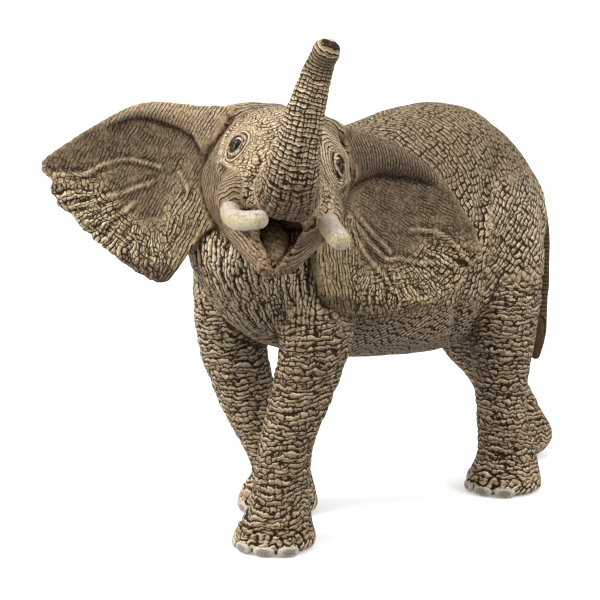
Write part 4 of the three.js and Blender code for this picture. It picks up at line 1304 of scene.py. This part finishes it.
def eye_material():
    s = Shader("eye", Specular_IOR_Level=0.15, Coat_Weight=0.12, Coat_Roughness=0.08)
    gaze, _, _ = s.split(s.value("tint"))
    grain, _ = s.noise(s.place(), 0.4, 2.0)
    gaze = gaze + (grain - 0.5) * 0.02
    colour = s.mix(s.fit(gaze, 0.5, 0.56), (0.8, 0.76, 0.7), (0.01, 0.006, 0.004))
    colour = s.mix(s.fit(gaze, 0.6, 0.68), colour, (0.035, 0.024, 0.018))
    colour = s.mix(s.fit(gaze, 0.86, 0.9), colour, (0.004, 0.003, 0.003))
    return s.finish(colour, s.fit(grain, 0.2, 0.8, 0.16, 0.24))


def tongue_material():
    s = Shader("tongue")
    grain, _ = s.noise(s.place(), 0.8, 3.0, 0.7)
    colour = s.mix(s.fit(grain, 0.35, 0.65), (0.16, 0.09, 0.05), (0.5, 0.36, 0.23))
    return s.finish(colour, s.fit(grain, 0.3, 0.7, 0.4, 0.6), grain * 0.3)


def one_value(values):
    """An attribute that holds one number for each point."""
    return {"tint": np.stack([values, 0 * values, 0 * values], 1)}


TUSK_GIRTH = {"left": 1.02, "right": 0.94}
ivory, eye_paint, nail_paint = ivory_material(), eye_material(), nail_material()
for side, sign in SIDES.items():
    rows = head_rows(TUSKS[side])
    rows[2:, 3] *= TUSK_GIRTH[side]
    points, tri = tube(rows, 40, 14, ends=7)
    path = smooth_path(rows, 14)[:, :3]
    along = near_path(points, path)[1]
    n = normals_of(points, tri)
    points = points + n * (0.12 * noise(points, 3, 15))[:, None]
    long = walk_of(path)[-1]
    tint = [step(0.75, 0.2, np.abs(n[:, 2])), step(long - 1.5, long + 0.5, along), step(19, 11, along)]
    tusk = put(f"{side}_tusk_ivory", points, tri, "ivory", ivory, values={"tint": np.stack(tint, 1)})
    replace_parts(tusk, f"{side}_tusk")

    points, tri = ellipsoid(np.zeros(3), (1, 1, 1), around=40, down=28)
    look = one_value(points @ np.array([0.62 * sign, -0.78, 0.1]))
    points = from_head(points * (2.2, 2.2, 3.0) + eye_centre[side])
    ball = put(f"{side}_eye_ball", points, tri, "eye", eye_paint, values=look)
    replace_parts(ball, f"{side}_eye")

for foot, count in NAILS.items():
    parts, rims = [], []
    heel = P[on(f"{foot}_leg")]
    heel = heel[heel[:, 2] < 6].mean(0)
    for i in range(count):
        middle = nail_middle(foot, i)
        outward = unit((middle - heel) * [1, 1, 0])
        points, tri = ellipsoid(np.zeros(3), (1, 1, 1), around=32, down=18)
        points = np.sign(points) * np.abs(points) ** 0.82
        rims.append(np.clip(np.hypot(points[:, 0], points[:, 2]), 0, 1))
        aside = np.cross([0, 0, 1], outward)
        points = points * (3.6, 1.35, 1.85) @ np.array([aside, outward, [0, 0, 1]])
        points += middle + outward * 0.5
        points[:, 2] += 2 - middle[2] if foot != "rear_right" else -0.6
        points[:, 2] = np.maximum(points[:, 2], 0.15)
        parts.append((points, tri))
    rim = one_value(np.concatenate(rims))
    nails = put(f"{foot}_toenails", *joined(parts), "nail", nail_paint, values=rim)
    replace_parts(nails, *[f"{foot}_toenail_{i + 1}" for i in range(count)])

TONGUE = np.array([
    (0.3, -4.5, -13.6, 3.4, 2.1), (0.3, -9.5, -15, 4.3, 2.5), (0.2, -14.5, -16.8, 4, 2.5),
    (-0.2, -19, -19.4, 2.7, 1.9),
])
points, tri = tube(head_rows(TONGUE), 28, 12, ends=5)
lumps = 0.45 * noise(points, (1.6, 1.6, 2.2), 16) + 0.5 * (folds(points, (2.6, 2.6, 1.6), 18) - 0.6)
points = points + normals_of(points, tri) * lumps[:, None]
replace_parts(put("tongue_flesh", points, tri, "tongue", tongue_material()), "tongue")

# Camera, light and floor

scene = bpy.context.scene
TARGET = np.array([-3.72, -35.779, 78])
AZIMUTH, ELEVATION, DISTANCE = math.radians(47), math.radians(12), 900
LENS_PIXELS, PHOTO_PIXELS, SENSOR = 2772, 600, 36
level_way = math.cos(ELEVATION)
back = np.array([math.sin(AZIMUTH) * level_way, -math.cos(AZIMUTH) * level_way, math.sin(ELEVATION)])
camera = added("camera", bpy.data.cameras.new("camera"))
camera.location = (TARGET + back * DISTANCE) / 1000
camera.rotation_euler = Vector(back).to_track_quat("Z", "Y").to_euler()
camera.data.sensor_width = SENSOR
camera.data.lens = LENS_PIXELS / PHOTO_PIXELS * SENSOR
camera.data.clip_start, camera.data.clip_end = 0.05, 100
scene.camera = camera

# The world is brighter towards the top
scene.view_settings.view_transform = "Standard"
world = bpy.data.worlds.new("studio")
world.use_nodes = True
nodes, links = world.node_tree.nodes, world.node_tree.links
nodes["Background"].inputs["Color"].default_value = (1, 1, 1, 1)
height = nodes.new("ShaderNodeSeparateXYZ")
links.new(nodes.new("ShaderNodeTexCoord").outputs["Generated"], height.inputs[0])
fade = nodes.new("ShaderNodeMapRange")
for key, value in {"From Min": -0.7, "From Max": 0.8, "To Min": 0.3, "To Max": 0.95}.items():
    fade.inputs[key].default_value = value
links.new(height.outputs["Z"], fade.inputs["Value"])
links.new(fade.outputs[0], nodes["Background"].inputs["Strength"])
scene.world = world

LAMPS = {
    "key": ((-0.5, -1.0, 1.1), 0.5, 13), "left": ((-0.7, -1.1, 0.35), 0.6, 9),
    "right": ((1.0, 0.2, 0.8), 0.6, 7), "top": ((0.1, 0.1, 1.3), 0.6, 5),
}
for name, (place, size, power) in LAMPS.items():
    light = bpy.data.lights.new(name, "AREA")
    light.shape, light.size, light.energy = "DISK", size, power
    ob = added(name, light)
    ob.location = place
    aim = Vector((0, -0.02, 0.07)) - ob.location
    ob.rotation_euler = aim.to_track_quat("-Z", "Y").to_euler()

# The floor is pale, glows a little and throws no diffuse light on the figure
FLOOR_HALF = 30.0
s = Shader("floor", Emission_Color=(1, 1, 1, 1), Emission_Strength=0.25)
grain, _ = s.noise(s.place(), 15.0, 2.0)
corners = [(a * FLOOR_HALF, b * FLOOR_HALF, 0) for a, b in ((-1, -1), (1, -1), (1, 1), (-1, 1))]
floor = mesh_object("floor", corners, [(0, 1, 2, 3)])
pale = s.mix(grain, (0.93, 0.93, 0.93), (0.95, 0.95, 0.95))
floor.data.materials.append(s.finish(pale, s.fit(grain, 0, 1, 0.6, 0.7)))
floor.visible_diffuse = False
